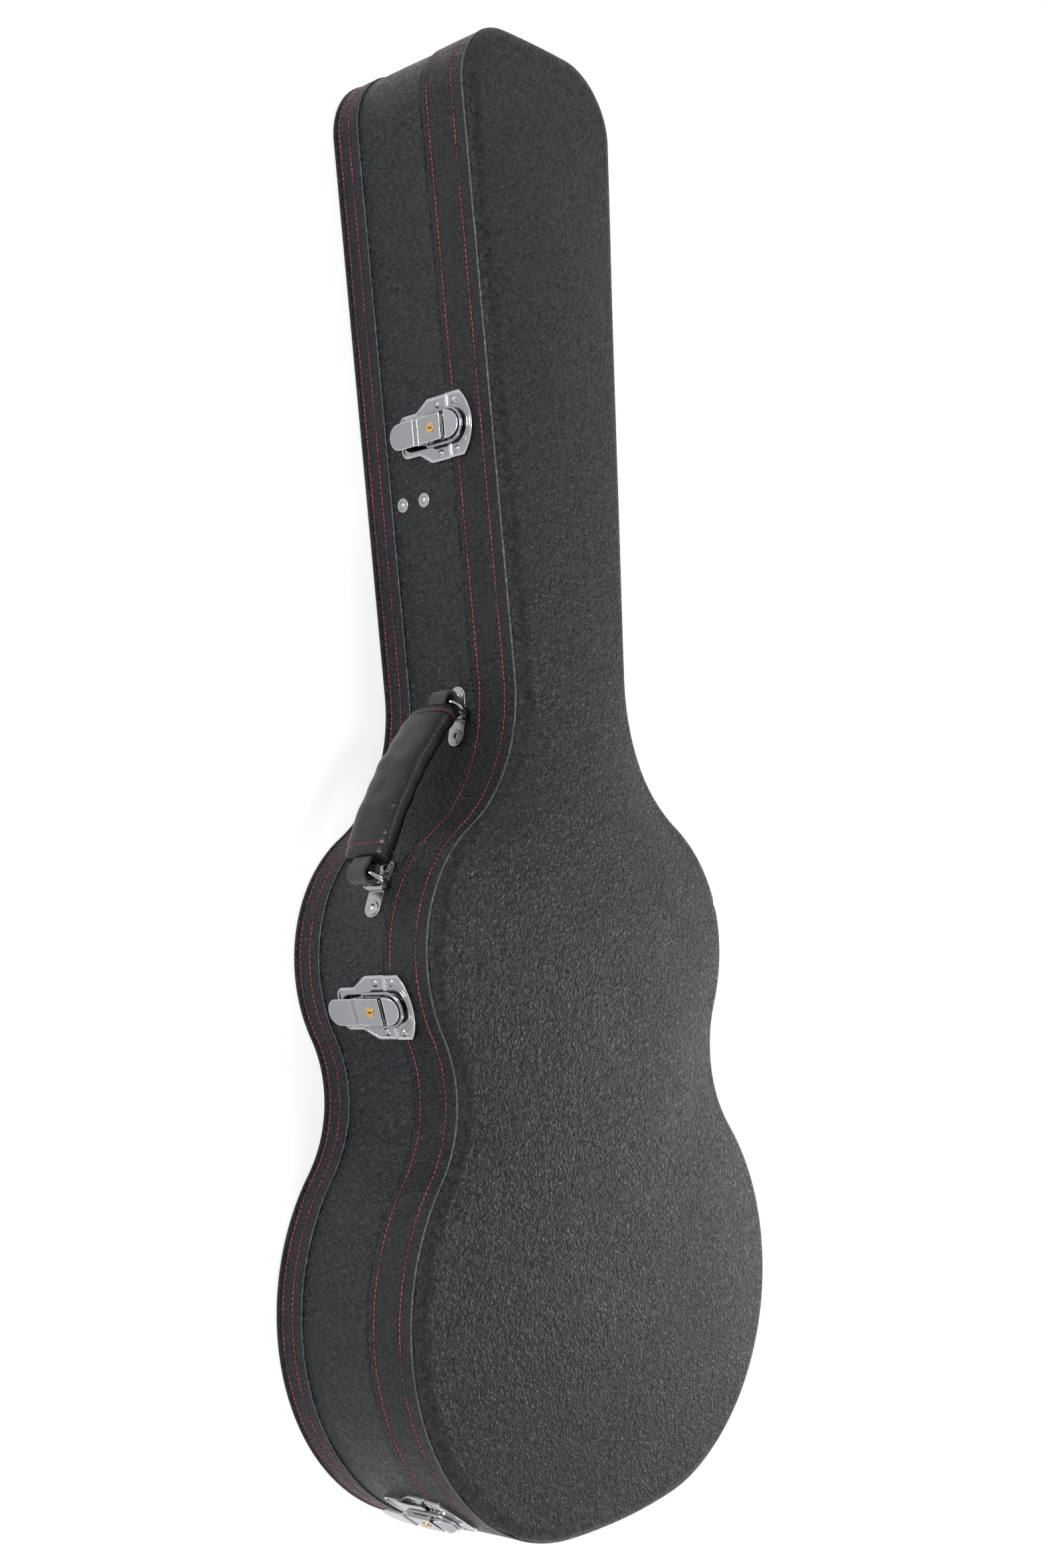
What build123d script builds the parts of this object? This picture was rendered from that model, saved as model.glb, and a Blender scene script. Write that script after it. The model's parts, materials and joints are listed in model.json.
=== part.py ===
"""Hard-shell case for a classical guitar, closed and lying on its back.

+Z is the lid side, +Y runs towards the head of the guitar and -X is the side with the
latches and the handle. The origin is on the bottom face, halfway along the case.
The body half is a plywood tray that is covered in vinyl and lined with plush. The lid half
has the same outline and an arched top. Two hinges join them on +X, and three draw-bolt
latches with key locks close them on -X.
"""
from build123d import *
from math import acos, atan2, cos, degrees, hypot, pi, radians, sin, sqrt
import os

# Outline of the covered walls, in millimetres, with y counted from the bottom end
caseLength = 1060.0
lowerHalfWidth = 200.0
lowerRadius = 160.0
endFlatness = 2.0
lowerY = lowerRadius + endFlatness
upperHalfWidth = 165.0
upperY = 407.0
upperRadius = 106.0
waistRadius = 87.0
shoulderRadius = 119.0
neckHalfWidth = 62.0
neckY = 650.0
headHalfWidth = 82.0
headCornerRadius = 49.0
headEndRadius = 1200.0

# Heights above the bottom face
seamHeight = 88.0
bandTop = 127.0
shoulderTop = 135.0
seamGap = 0.4

# Arch of the lid over its edge, along the case
bodyArch = 13.0
neckArch = 4.0
archEnd = 0.4

# Layers of a wall, from the outside in
coverThick = 1.2
plyThick = 4.0
liningThick = 5.0
bandRaise = 1.2
backBandLow = 4.5
backBandHigh = 25.0
pipingRaise = 1.8
pipingHeight = 4.0
edgeRollWidth = 9.4
edgeRollRadius = 6.5
clearance = 0.3

# Draw-bolt latches: across the latch, then along its pull, then out from the wall
latchWidth = 45.0
baseNarrow = 30.0
baseLength = 46.0
flareLength = 18.0
flareSlope = 11.0
plateThick = 1.6
rimWidth = 1.3
rimRaise = 0.7
catchSide = 13.5
catchRise = 23.0
hornWidth = 19.4
hornStart = 2.6
hornEnd = 13.0
hornTop = 6.4
hornSlope = 14.0
plateRivetInset = 5.2
baseRivetDrop = 9.5
catchRivetRise = 7.0
leverWidth = 18.6
leverReach = 47.5
sheetThick = 1.4
leverDepth = 3.6
leverNose = 2.0
tabDrop = 2.4
tabLength = 14.0
lugReach = 2.1
lugFoot = 1.0
pivotBack = 3.5
pivotOut = 4.6
pivotRadius = 1.25
bailArm = 15.0
bailOut = 3.7
bailWire = 1.2
runningGap = 0.05
lockRadius = 3.3
lockBack = 10.5
lockDeep = 4.2
lockProud = 0.5
keySlotWidth = 1.2
keySlotLength = 4.2
keySlotDeep = 2.0
upperLatchY = 783.0
middleLatchInset = 12.2
lowerLatchTurn = 51.8

# Handle on the shoulder
handleZ = 73.0
upperSaddleTurn = 8.75
lowerSaddleTurn = 29.8
ringWire = 2.0
ringHalfWidth = 13.0
ringDepth = 17.0
ringCorner = 3.5
saddleWidth = 14.0
saddleRivetOut = 15.0
saddleThick = 1.2
gripWidth = 34.0
gripThick = 15.0
gripBow = 7.0
gripFillet = 6.0
gripEnd = 12.0
loopOuter = 8.0
loopInner = 5.8
loopWidth = 15.0
loopBack = 1.8

# Round fasteners
rivetRadius = 3.0
rivetHigh = 1.5
washerRadius = 5.2
washerThick = 0.8
screwY = 737.0
screwHeights = (36.0, 57.0)

# Hinges
hingeLength = 50.0
hingeKnuckles = 5
knuckleRadius = 3.6
knuckleGap = 0.3
hingePinRadius = 1.6
leafThick = 1.2
leafHeight = 24.0
hingeRivetPitch = 17.0
hingeRivetHeight = 16.3
hingeRivetRadius = 2.4
hingeRivetHigh = 1.05

# Inside
cradleLength = 24.0
cradleHeight = 78.0
cradleNotch = 56.0
cradleFloor = 56.0
boxLength = 77.0
boxWall = 5.0
boxHeight = 44.0
boxLidThick = 4.0
tabWidth = 14.0
tabLength = 26.0
tabThick = 0.8


def apart(a, b):
    """Distance between two points in plan."""
    return hypot(b[0] - a[0], b[1] - a[1])


def direction(a, b):
    """Angle of the line from a to b."""
    return atan2(b[1] - a[1], b[0] - a[0])


def polar(centre, radius, angle):
    return (centre[0] + radius * cos(angle), centre[1] + radius * sin(angle))


def outlineCentres():
    """Centres of the outline's tangent arcs on the +X side, from the bottom end to the head."""
    lower = (lowerHalfWidth - lowerRadius, lowerY)
    endRise = (lower[0] ** 2 + lowerY ** 2 - lowerRadius ** 2) / (2 * (lowerY - lowerRadius))
    upper = (upperHalfWidth - upperRadius, upperY)
    reachLow = lowerRadius + waistRadius
    reachHigh = upperRadius + waistRadius
    span = apart(lower, upper)
    along = (reachLow ** 2 - reachHigh ** 2 + span ** 2) / (2 * span)
    aside = sqrt(reachLow ** 2 - along ** 2)
    turn = direction(lower, upper)
    foot = polar(lower, along, turn)
    waist = polar(foot, aside, turn - pi / 2)
    neckTurn = atan2(caseLength - neckY, headHalfWidth - neckHalfWidth)
    outward = neckTurn - pi / 2

    def onNeckLine(shift, centre, reach):
        """Point at a shift outward of the neck line and at a reach from a centre, head side."""
        base = polar((neckHalfWidth, neckY), shift, outward)
        dx = base[0] - centre[0]
        dy = base[1] - centre[1]
        half = dx * cos(neckTurn) + dy * sin(neckTurn)
        step = -half + sqrt(half ** 2 - (dx ** 2 + dy ** 2 - reach ** 2))
        return polar(base, step, neckTurn)

    shoulder = onNeckLine(shoulderRadius, upper, upperRadius + shoulderRadius)
    headEnd = (0.0, caseLength - headEndRadius)
    corner = onNeckLine(-headCornerRadius, headEnd, headEndRadius - headCornerRadius)
    return {"end": (0.0, endRise), "lower": lower, "waist": waist, "upper": upper,
            "shoulder": shoulder, "corner": corner, "head": headEnd, "outward": outward}


centres = outlineCentres()


def outlineFace(shift=0.0):
    """The case's outline moved outward by a shift: every arc keeps its centre."""
    c = centres
    right = []

    def arc(centre, radius, start, stop):
        middle = (start + stop) / 2
        right.append([polar(centre, radius, a) for a in (start, middle, stop)])

    arc(c["end"], c["end"][1] + shift, -pi / 2, direction(c["end"], c["lower"]))
    arc(c["lower"], lowerRadius + shift, direction(c["end"], c["lower"]), direction(c["lower"], c["waist"]))
    arc(c["waist"], waistRadius - shift, direction(c["waist"], c["lower"]) + 2 * pi,
        direction(c["waist"], c["upper"]))
    arc(c["upper"], upperRadius + shift, direction(c["upper"], c["waist"]), direction(c["upper"], c["shoulder"]))
    inward = c["outward"] + pi
    arc(c["shoulder"], shoulderRadius - shift, direction(c["shoulder"], c["upper"]) + 2 * pi, inward)
    arc(c["corner"], headCornerRadius + shift, c["outward"], direction(c["head"], c["corner"]))
    arc(c["head"], headEndRadius + shift, direction(c["head"], c["corner"]), pi / 2)
    edges = []
    for side in (1, -1):
        last = None
        for points in right:
            a, b, d = [(side * x, y) for x, y in points]
            if last is not None and apart(last, a) > 0.01:
                edges.append(Line(last, a))
            edges.append(ThreePointArc(a, b, d))
            last = d
    return make_face(edges)


def prism(shift, low, high):
    """The outline at a shift, from one height to another."""
    return Pos(0, 0, low) * extrude(outlineFace(shift), high - low)


def wallRing(outer, inner, low, high):
    """A wall that follows the outline between two shifts."""
    return prism(outer, low, high) - prism(inner, low - 1, high + 1)


def slab(lowX, highX, lowY, highY, lowZ, highZ):
    """A plain box between six planes."""
    size = (highX - lowX, highY - lowY, highZ - lowZ)
    return Pos(lowX, lowY, lowZ) * Box(*size, align=(Align.MIN,) * 3)


def halfWidthAt(y, shift):
    """Half width of the outline at a y, at a shift, found on its arcs."""
    c = centres
    y = min(max(y, -shift + 0.5), caseLength + shift - 0.5)
    spans = (("lower", lowerRadius, 1), ("waist", waistRadius, -1), ("upper", upperRadius, 1),
             ("shoulder", shoulderRadius, -1))
    joins = [direction(c["end"], c["lower"]), direction(c["lower"], c["waist"]),
             direction(c["upper"], c["waist"]), direction(c["upper"], c["shoulder"]), c["outward"]]
    lowEnd = polar(c["lower"], lowerRadius + shift, joins[0])[1]
    if y <= lowEnd:
        return sqrt(max((c["end"][1] + shift) ** 2 - (c["end"][1] - y) ** 2, 0.0))
    tops = [polar(c["lower"], lowerRadius + shift, joins[1])[1],
            polar(c["upper"], upperRadius + shift, joins[2])[1],
            polar(c["upper"], upperRadius + shift, joins[3])[1],
            polar(c["shoulder"], shoulderRadius - shift, c["outward"] + pi)[1]]
    for (name, radius, side), top in zip(spans, tops):
        if y <= top:
            reach = radius + side * shift
            return c[name][0] + side * sqrt(max(reach ** 2 - (y - c[name][1]) ** 2, 0.0))
    cornerLow = polar(c["corner"], headCornerRadius + shift, c["outward"])[1]
    if y <= cornerLow:
        slope = (headHalfWidth - neckHalfWidth) / (caseLength - neckY)
        return neckHalfWidth + slope * (y - neckY) + shift / cos(c["outward"])
    reach = headCornerRadius + shift
    return c["corner"][0] + sqrt(max(reach ** 2 - (y - c["corner"][1]) ** 2, 0.0))


def archAt(y):
    """Height of the arch over the lid's edge: full over the body, low over the neck."""

    def ease(t):
        t = min(max(t, 0.0), 1.0)
        return t * t * (3 - 2 * t)

    foot = ease(y / lowerY)
    top = ease((caseLength - y) / (caseLength - neckY) * 3)
    slim = ease((y - upperY) / (neckY - upperY))
    return archEnd + (bodyArch + (neckArch - bodyArch) * slim) * foot * top


archStations = [-12.0, 40.0, 95.0, lowerY, 225.0, 285.0, 345.0, upperY, 462.0, 515.0, 570.0, neckY,
                730.0, 830.0, 930.0, 1010.0, caseLength + 12.0]


def archedLayer(top, thick, shift):
    """A layer of the lid's arched top: sections that are thin arches, trimmed to the outline."""
    sections = []
    for y in archStations:
        rise = archAt(y)
        half = max(halfWidthAt(y, -edgeRollWidth), neckHalfWidth)
        radius = (half ** 2 + rise ** 2) / (2 * rise)
        reach = half + 2.0 * edgeRollWidth

        def height(x):
            return top + rise - radius + sqrt(radius ** 2 - x ** 2)

        def halfArc(start, stop, drop):
            middle = (start + stop) / 2
            return ThreePointArc(*[(x, height(x) - drop) for x in (start, middle, stop)])

        sides = [Line((s * reach, height(reach)), (s * reach, height(reach) - thick)) for s in (1, -1)]
        crown = [halfArc(-reach, 0, 0), halfArc(0, reach, 0)]
        below = [halfArc(reach, 0, thick), halfArc(0, -reach, thick)]
        outline = make_face([crown[0], crown[1], sides[0], below[0], below[1], sides[1]])
        sections.append(Plane(origin=(0, y, 0), x_dir=(1, 0, 0), z_dir=(0, -1, 0)) * outline)
    return loft(sections) & prism(shift, top - 3 * thick, top + bodyArch + neckArch)


def wallPlace(name, y=None, turn=0.0, shift=0.0, aside=0.0):
    """A point on the -X wall and its outward normal angle.

    The neck is named by y, and an arc by a turn from the -X direction. aside moves along the wall.
    """
    c = centres
    if name == "neck":
        normal = pi - c["outward"]
        slope = (headHalfWidth - neckHalfWidth) / (caseLength - neckY)
        point = (-(neckHalfWidth + slope * (y - neckY)), y)
        point = polar(point, aside, normal + pi / 2)
        return polar(point, shift, normal), normal
    centre = (-c[name][0], c[name][1])
    if name == "shoulder":
        angle = -radians(turn) - aside / shoulderRadius
        return polar(centre, shoulderRadius - shift, angle), angle + pi
    radius = {"lower": lowerRadius, "upper": upperRadius}[name]
    angle = pi + radians(turn) + aside / radius
    return polar(centre, radius + shift, angle), angle


def wallFrame(place, z, out=0.0, aside=0.0):
    """Frame on the wall: x across it, y up towards the lid, z out of the wall."""
    point, normal = wallPlace(shift=out, aside=aside, **place)
    return Plane(origin=(point[0], point[1], z), x_dir=(-sin(normal), cos(normal), 0),
                 z_dir=(cos(normal), sin(normal), 0)).location


def roundHead(radius, high):
    """A domed rivet head on the plane z = 0."""
    ball = (radius ** 2 + high ** 2) / (2 * high)
    return (Pos(0, 0, high - ball) * Sphere(ball)) & slab(-radius, radius, -radius, radius, 0, high)


def washer(radius, thick):
    """A round washer with a softened edge."""
    disc = Pos(0, 0, thick / 2) * Cylinder(radius, thick)
    return chamfer(disc.edges().group_by(Axis.Z)[-1], thick * 0.4)


# The middle latch keeps its distance from the end of the upper bout's arc, at the waist
middleLatchTurn = -degrees(direction(centres["upper"], centres["waist"])) - middleLatchInset
latchPlaces = [dict(name="lower", turn=lowerLatchTurn), dict(name="upper", turn=middleLatchTurn),
               dict(name="neck", y=upperLatchY)]
saddlePlaces = [dict(name="upper", turn=-lowerSaddleTurn), dict(name="shoulder", turn=upperSaddleTurn)]

parts = {}

# Walls, boards and covers of the body half
plyOut = -coverThick
plyIn = plyOut - plyThick
liningIn = plyIn - liningThick
floorTop = coverThick + plyThick + liningThick
bodyTop = seamHeight - seamGap / 2
lidLow = seamHeight + seamGap / 2
parts["back_cover"] = prism(0, 0, coverThick)
parts["body_cover"] = wallRing(0, plyOut, coverThick, bodyTop)
parts["body_rim"] = wallRing(plyOut, plyIn, coverThick, bodyTop)
parts["back_board"] = prism(plyIn, coverThick, coverThick + plyThick)
parts["back_band"] = wallRing(bandRaise, 0, backBandLow, backBandHigh)
roll = wallRing(pipingRaise, 0, backBandLow - pipingHeight, backBandLow)
outerEdges = roll.faces().sort_by(Axis.Z)
rollEdges = [outerEdges[0].outer_wire().edges(), outerEdges[-1].outer_wire().edges()]
parts["back_piping"] = fillet(rollEdges[0] + rollEdges[1], pipingRaise * 0.75)
parts["body_wall_lining"] = wallRing(plyIn, liningIn, coverThick + plyThick, bodyTop - 1.0)

# Walls and arched top of the lid half
parts["lid_rim"] = wallRing(plyOut, plyIn, lidLow, bandTop)
parts["lid_band"] = wallRing(bandRaise, plyOut, lidLow, bandTop)
shoulder = wallRing(bandRaise / 4, -edgeRollWidth, bandTop, shoulderTop)
topRing = shoulder.faces().sort_by(Axis.Z)[-1].outer_wire().edges()
parts["lid_edge_roll"] = fillet(topRing, edgeRollRadius)
parts["lid_cover"] = archedLayer(shoulderTop, coverThick, -edgeRollWidth)
parts["lid_board"] = archedLayer(shoulderTop - coverThick, plyThick, -edgeRollWidth)
parts["lid_top_lining"] = archedLayer(shoulderTop - coverThick - plyThick, liningThick - 1, -edgeRollWidth)
parts["lid_wall_lining"] = wallRing(plyIn, -edgeRollWidth, lidLow + 1.0, bandTop)


def latchBase():
    """Flat outline of the latch's plate on the body half: wide at the seam, narrow at the tab."""
    half = latchWidth / 2
    slim = baseNarrow / 2
    edge = -seamGap
    points = [(half, edge), (half, -flareLength), (slim, -flareLength - flareSlope), (slim, -baseLength),
              (-slim, -baseLength), (-slim, -flareLength - flareSlope), (-half, -flareLength), (-half, edge)]
    face = make_face(Polyline(*points, close=True))
    low = face.vertices().filter_by(lambda v: v.Y < edge - 1)
    return fillet(low, flareSlope / 2)


def latchCatch():
    """Flat outline of the plate on the lid: straight at the seam, with an arc above."""
    half = latchWidth / 2
    edge = seamGap
    over = ThreePointArc((half, catchSide), (0, catchRise), (-half, catchSide))
    sides = [Line((-half, catchSide), (-half, edge)), Line((-half, edge), (half, edge)),
             Line((half, edge), (half, catchSide))]
    return make_face([over] + sides)


def seatedPlate(outline, place, seat):
    """A plate with a raised rim that follows the wall at a seat height over it."""
    frame = wallFrame(place, seamHeight)
    reach = baseLength
    blank = frame * (Pos(0, 0, -reach) * extrude(outline, 2 * reach))
    inner = offset(outline, -rimWidth, kind=Kind.INTERSECTION)
    core = frame * (Pos(0, 0, -reach) * extrude(inner, 2 * reach))
    low = seamHeight - baseLength - 5
    high = seamHeight + catchRise + 5
    plate = wallRing(seat + plateThick, seat, low, high) & blank
    rim = (wallRing(seat + plateThick + rimRaise, seat + plateThick - 0.1, low, high) & blank) - core
    return plate + rim


def latchLugs():
    """Two lugs on the base that carry the lever's pivot, with its pin between them."""
    half = leverWidth / 2 - sheetThick - 2 * runningGap
    lugs = []
    for side in (1, -1):
        inner = half - sheetThick
        body = slab(min(side * inner, side * half), max(side * inner, side * half),
                    -pivotBack - lugReach, -pivotBack + lugFoot, -plateThick / 2, pivotOut)
        head = Pos(side * (inner + half) / 2, -pivotBack, pivotOut) * Rot(0, 90, 0) * Cylinder(
            lugReach, sheetThick)
        lugs.append(body + head)
    pin = Pos(0, -pivotBack, pivotOut) * Rot(0, 90, 0) * Cylinder(pivotRadius, leverWidth)
    return lugs[0] + lugs[1] + pin


def latchHorn():
    """The catch's horn, with a rounded far end that the wire loop is drawn against."""
    half = hornWidth / 2
    shoulderY = hornEnd - half
    bulge = ThreePointArc((half, shoulderY), (0, hornEnd), (-half, shoulderY))
    sides = [Line((-half, shoulderY), (-half, hornStart)), Line((-half, hornStart), (half, hornStart)),
             Line((half, hornStart), (half, shoulderY))]
    block = extrude(make_face([bulge] + sides), hornTop + plateThick)
    slope = Rot(-hornSlope, 0, 0) * slab(-hornWidth, hornWidth, 0, 2 * hornEnd, 0, 2 * hornTop)
    return block - Pos(0, hornStart, hornTop + plateThick) * slope


def latchLever():
    """Pressed lever: finger tab, bend, middle panel, step, lock panel and two cheeks."""
    tip = -pivotBack - leverReach
    nose = -pivotBack + leverNose
    panel = pivotOut + leverDepth
    stepTop = -pivotBack - bailArm - 2 * bailWire
    stepFoot = stepTop - tabDrop
    tabFoot = tip + tabLength
    tabLine = [(tip, panel - tabDrop / 2), (tabFoot - tabDrop, panel), (tabFoot, panel - tabDrop),
               (stepFoot, panel - tabDrop), (stepTop, panel), (nose, panel)]
    top = [(a, b) for a, b in tabLine]
    bottom = [(a, b - sheetThick) for a, b in reversed(tabLine)]
    sheetFace = Plane.YZ * make_face(Polyline(*(top + bottom), close=True))
    sheet = extrude(sheetFace, leverWidth / 2, both=True)
    half = leverWidth / 2
    crown = extrude(make_face([ThreePointArc((half, tip + half), (0, tip), (-half, tip + half)),
                               Polyline((-half, tip + half), (-half, nose + 1), (half, nose + 1),
                                        (half, tip + half))]), 2 * panel)
    sheet = sheet & crown
    cheekTop = panel - sheetThick / 2
    cheekLow = bailOut - bailWire - sheetThick / 2
    cheekLine = [(stepFoot - tabDrop, cheekTop - tabDrop), (stepFoot, cheekLow), (-pivotBack, cheekLow),
                 (nose, pivotOut), (nose, cheekTop), (stepTop, cheekTop), (stepFoot, cheekTop - tabDrop)]
    cheekFace = Plane.YZ * make_face(Polyline(*cheekLine, close=True))
    cheeks = extrude(cheekFace, half, both=True) - slab(
        -half + sheetThick, half - sheetThick, tip, 2 * latchWidth, -2 * panel, 2 * panel)
    lever = sheet + cheeks
    lever -= Pos(0, -pivotBack, pivotOut) * Rot(0, 90, 0) * Cylinder(pivotRadius + runningGap, 2 * leverWidth)
    lever -= Pos(0, -pivotBack - bailArm, bailOut) * Rot(0, 90, 0) * Cylinder(
        bailWire + runningGap, 2 * leverWidth)
    lever -= Pos(0, -lockBack, panel) * Cylinder(lockRadius + runningGap, 2 * panel)
    return lever


def rod(radius, path, start, heading):
    """A round rod along a path that starts at a point and in a direction."""
    return sweep(Plane(origin=start, z_dir=heading) * Circle(radius), Wire(path))


def latchBail():
    """Wire loop from the lever's cheeks round the horn, bent from one rod."""
    lane = hornWidth / 2 + 2 * clearance + bailWire
    start = -pivotBack - bailArm
    far = hornEnd + clearance + bailWire
    inside = leverWidth / 2 - sheetThick
    turn = lane - leverWidth / 2 - clearance
    slack = turn * (1 - sin(pi / 4))
    path = [Line((inside, start), (lane - turn, start)),
            ThreePointArc((lane - turn, start), (lane - slack, start + slack), (lane, start + turn)),
            Line((lane, start + turn), (lane, far - lane)),
            ThreePointArc((lane, far - lane), (0, far), (-lane, far - lane)),
            Line((-lane, far - lane), (-lane, start + turn)),
            ThreePointArc((-lane, start + turn), (-lane + slack, start + slack), (-lane + turn, start)),
            Line((-lane + turn, start), (-inside, start))]
    return Pos(0, 0, bailOut) * rod(bailWire, path, (inside, start, 0), (1, 0, 0))


def latchLock():
    """Brass key cylinder in the lever, with its slot, a collar on top and a cam below."""
    top = pivotOut + leverDepth + lockProud
    barrel = Pos(0, 0, top - lockDeep / 2) * Cylinder(lockRadius, lockDeep)
    slot = slab(-keySlotWidth / 2, keySlotWidth / 2, -keySlotLength / 2, keySlotLength / 2,
                top - keySlotDeep, top + 1)
    return Pos(0, -lockBack, 0) * (barrel - slot)


baseRivets = []
catchRivets = []
for index, place in enumerate(latchPlaces, 1):
    frame = wallFrame(place, seamHeight)
    seatFrame = wallFrame(place, seamHeight, out=plateThick)
    parts[f"latch_base_{index}"] = seatedPlate(latchBase(), place, 0) + seatFrame * latchLugs()
    parts[f"latch_catch_{index}"] = seatedPlate(latchCatch(), place, bandRaise) + frame * (
        Pos(0, 0, bandRaise + 0.4) * latchHorn())
    parts[f"latch_lever_{index}"] = seatFrame * latchLever()
    parts[f"latch_bail_{index}"] = seatFrame * latchBail()
    parts[f"latch_lock_{index}"] = seatFrame * latchLock()
    for side in (1, -1):
        aside = side * (latchWidth / 2 - plateRivetInset)
        baseRivets.append(wallFrame(place, seamHeight - baseRivetDrop, out=plateThick, aside=aside)
                          * roundHead(rivetRadius, rivetHigh))
        catchRivets.append(wallFrame(place, seamHeight + catchRivetRise, out=bandRaise + plateThick, aside=aside)
                           * roundHead(rivetRadius, rivetHigh))
parts["latch_base_rivets"] = Compound(baseRivets)
parts["latch_catch_rivets"] = Compound(catchRivets)


def ringBar(place):
    """Centre of the bar that a saddle holds, in plan, and the wall's normal there."""
    return wallPlace(shift=ringWire + 2 * runningGap, **place)


def saddle(place):
    """Strap over a ring's bar: it follows the wall on both sides of a round hump."""
    frame = wallFrame(place, handleZ)
    half = saddleWidth / 2
    reach = saddleRivetOut + half - 0.5
    outline = make_face([
        Line((-reach + half, -half), (reach - half, -half)),
        ThreePointArc((reach - half, -half), (reach, 0), (reach - half, half)),
        Line((reach - half, half), (-reach + half, half)),
        ThreePointArc((-reach + half, half), (-reach, 0), (-reach + half, -half))])
    blank = frame * (Pos(0, 0, -reach) * extrude(outline, 2 * reach))
    strap = wallRing(saddleThick, 0, handleZ - half - 1, handleZ + half + 1) & blank
    bore = ringWire + runningGap
    outerHump = ringWire + runningGap + saddleThick
    axisOut = ringWire + 2 * runningGap
    hump = Pos(0, 0, axisOut) * Rot(90, 0, 0) * Cylinder(outerHump, saddleWidth)
    legs = slab(-outerHump, outerHump, -half, half, 0, axisOut)
    channel = slab(-bore, bore, -saddleWidth, saddleWidth, -saddleThick, axisOut)
    hole = Pos(0, 0, axisOut) * Rot(90, 0, 0) * Cylinder(bore, 3 * saddleWidth)
    above = slab(-reach, reach, -saddleWidth, saddleWidth, 2 * runningGap, reach)
    return (strap + frame * ((hump + legs) & above)) - frame * (hole + channel)


def handleRing(centre, angle):
    """D-shaped ring with its straight bar along z at the centre and its bow pointing at an angle."""
    half = ringHalfWidth - ringWire
    turn = ringCorner
    slack = turn * (1 - sin(pi / 4))
    legEnd = ringDepth - half
    path = [Line((0, -half + turn), (0, half - turn)),
            ThreePointArc((0, half - turn), (slack, half - slack), (turn, half)),
            Line((turn, half), (legEnd, half)),
            ThreePointArc((legEnd, half), (ringDepth, 0), (legEnd, -half)),
            Line((legEnd, -half), (turn, -half)),
            ThreePointArc((turn, -half), (slack, -half + slack), (0, -half + turn))]
    ring = rod(ringWire, path, (0, -half + turn, 0), (0, 1, 0))
    frame = Plane(origin=(centre[0], centre[1], handleZ), x_dir=(cos(angle), sin(angle), 0),
                  z_dir=(sin(angle), -cos(angle), 0))
    return frame.location * ring


bars = [ringBar(place)[0] for place in saddlePlaces]
gripLine = direction(bars[0], bars[1])
ringTurn = gripLine + pi / 2
tips = [polar(bar, ringDepth, ringTurn) for bar in bars]
gripSpan = apart(*tips)
gripFrame = Plane(origin=(tips[0][0], tips[0][1], handleZ), x_dir=(cos(gripLine), sin(gripLine), 0),
                  z_dir=(0, 0, 1)).location


def handleGrip():
    """Padded sleeve, bowed a little away from the case, in the frame of the two ring tips."""
    start = gripEnd
    stop = gripSpan - gripEnd
    middle = gripSpan / 2
    half = gripThick / 2
    face = make_face([
        ThreePointArc((start, half), (middle, half + gripBow), (stop, half)),
        Line((stop, half), (stop, -half)),
        ThreePointArc((stop, -half), (middle, -half + gripBow), (start, -half)),
        Line((start, -half), (start, half))])
    body = extrude(face, gripWidth / 2, both=True)
    long = body.edges().filter_by(lambda e: e.length > gripSpan / 2)
    return fillet(long, gripFillet)


def handleLoop(atStart):
    """Webbing that leaves the sleeve and goes round a ring's bow."""
    side = 1 if atStart else -1
    origin = 0 if atStart else gripSpan
    centre = Pos(origin, -loopBack, 0)
    eye = centre * Cylinder(loopOuter, loopWidth)
    low = origin + side * 2
    high = origin + side * gripEnd
    tongue = slab(min(low, high), max(low, high), -gripThick / 2 + 3, gripThick / 2 - 3,
                  -loopWidth / 2, loopWidth / 2)
    return eye + tongue - centre * Cylinder(loopInner, 2 * loopWidth)


for index, place in enumerate(saddlePlaces, 1):
    parts[f"handle_saddle_{index}"] = saddle(place)
    parts[f"handle_ring_{index}"] = handleRing(bars[index - 1], ringTurn)
parts["handle_grip"] = gripFrame * handleGrip()
parts["handle_webbing"] = Compound([gripFrame * handleLoop(True), gripFrame * handleLoop(False)])
saddleRivets = []
saddleWashers = []
# On the hollow shoulder a flat washer touches the strap at its edge
hollow = shoulderRadius - saddleThick
washerSeat = hollow - sqrt(hollow ** 2 - washerRadius ** 2)
for place in saddlePlaces:
    for side in (1, -1):
        aside = side * saddleRivetOut
        saddleWashers.append(wallFrame(place, handleZ, out=saddleThick + washerSeat, aside=aside)
                             * washer(washerRadius, washerThick))
        saddleRivets.append(wallFrame(place, handleZ, out=saddleThick + washerSeat + washerThick, aside=aside)
                            * roundHead(rivetRadius, rivetHigh))
parts["saddle_washers"] = Compound(saddleWashers)
parts["saddle_rivets"] = Compound(saddleRivets)
screwPlace = dict(name="neck", y=screwY)
parts["cradle_washers"] = Compound([wallFrame(screwPlace, z) * washer(washerRadius, washerThick)
                                    for z in screwHeights])
parts["cradle_screws"] = Compound([wallFrame(screwPlace, z, out=washerThick) * roundHead(rivetRadius, rivetHigh)
                                   for z in screwHeights])

# Hinges: their axis touches both bouts on the +X side, in the plane of the seam
boutTurn = direction(centres["lower"], centres["upper"])
hingeNormal = boutTurn - acos((lowerRadius - upperRadius) / apart(centres["lower"], centres["upper"]))
hingeAlong = hingeNormal + pi / 2
hingeOut = bandRaise + leafThick + knuckleRadius
hingeSpots = [polar(centres["lower"], lowerRadius, hingeNormal), polar(centres["upper"], upperRadius, hingeNormal)]


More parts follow.
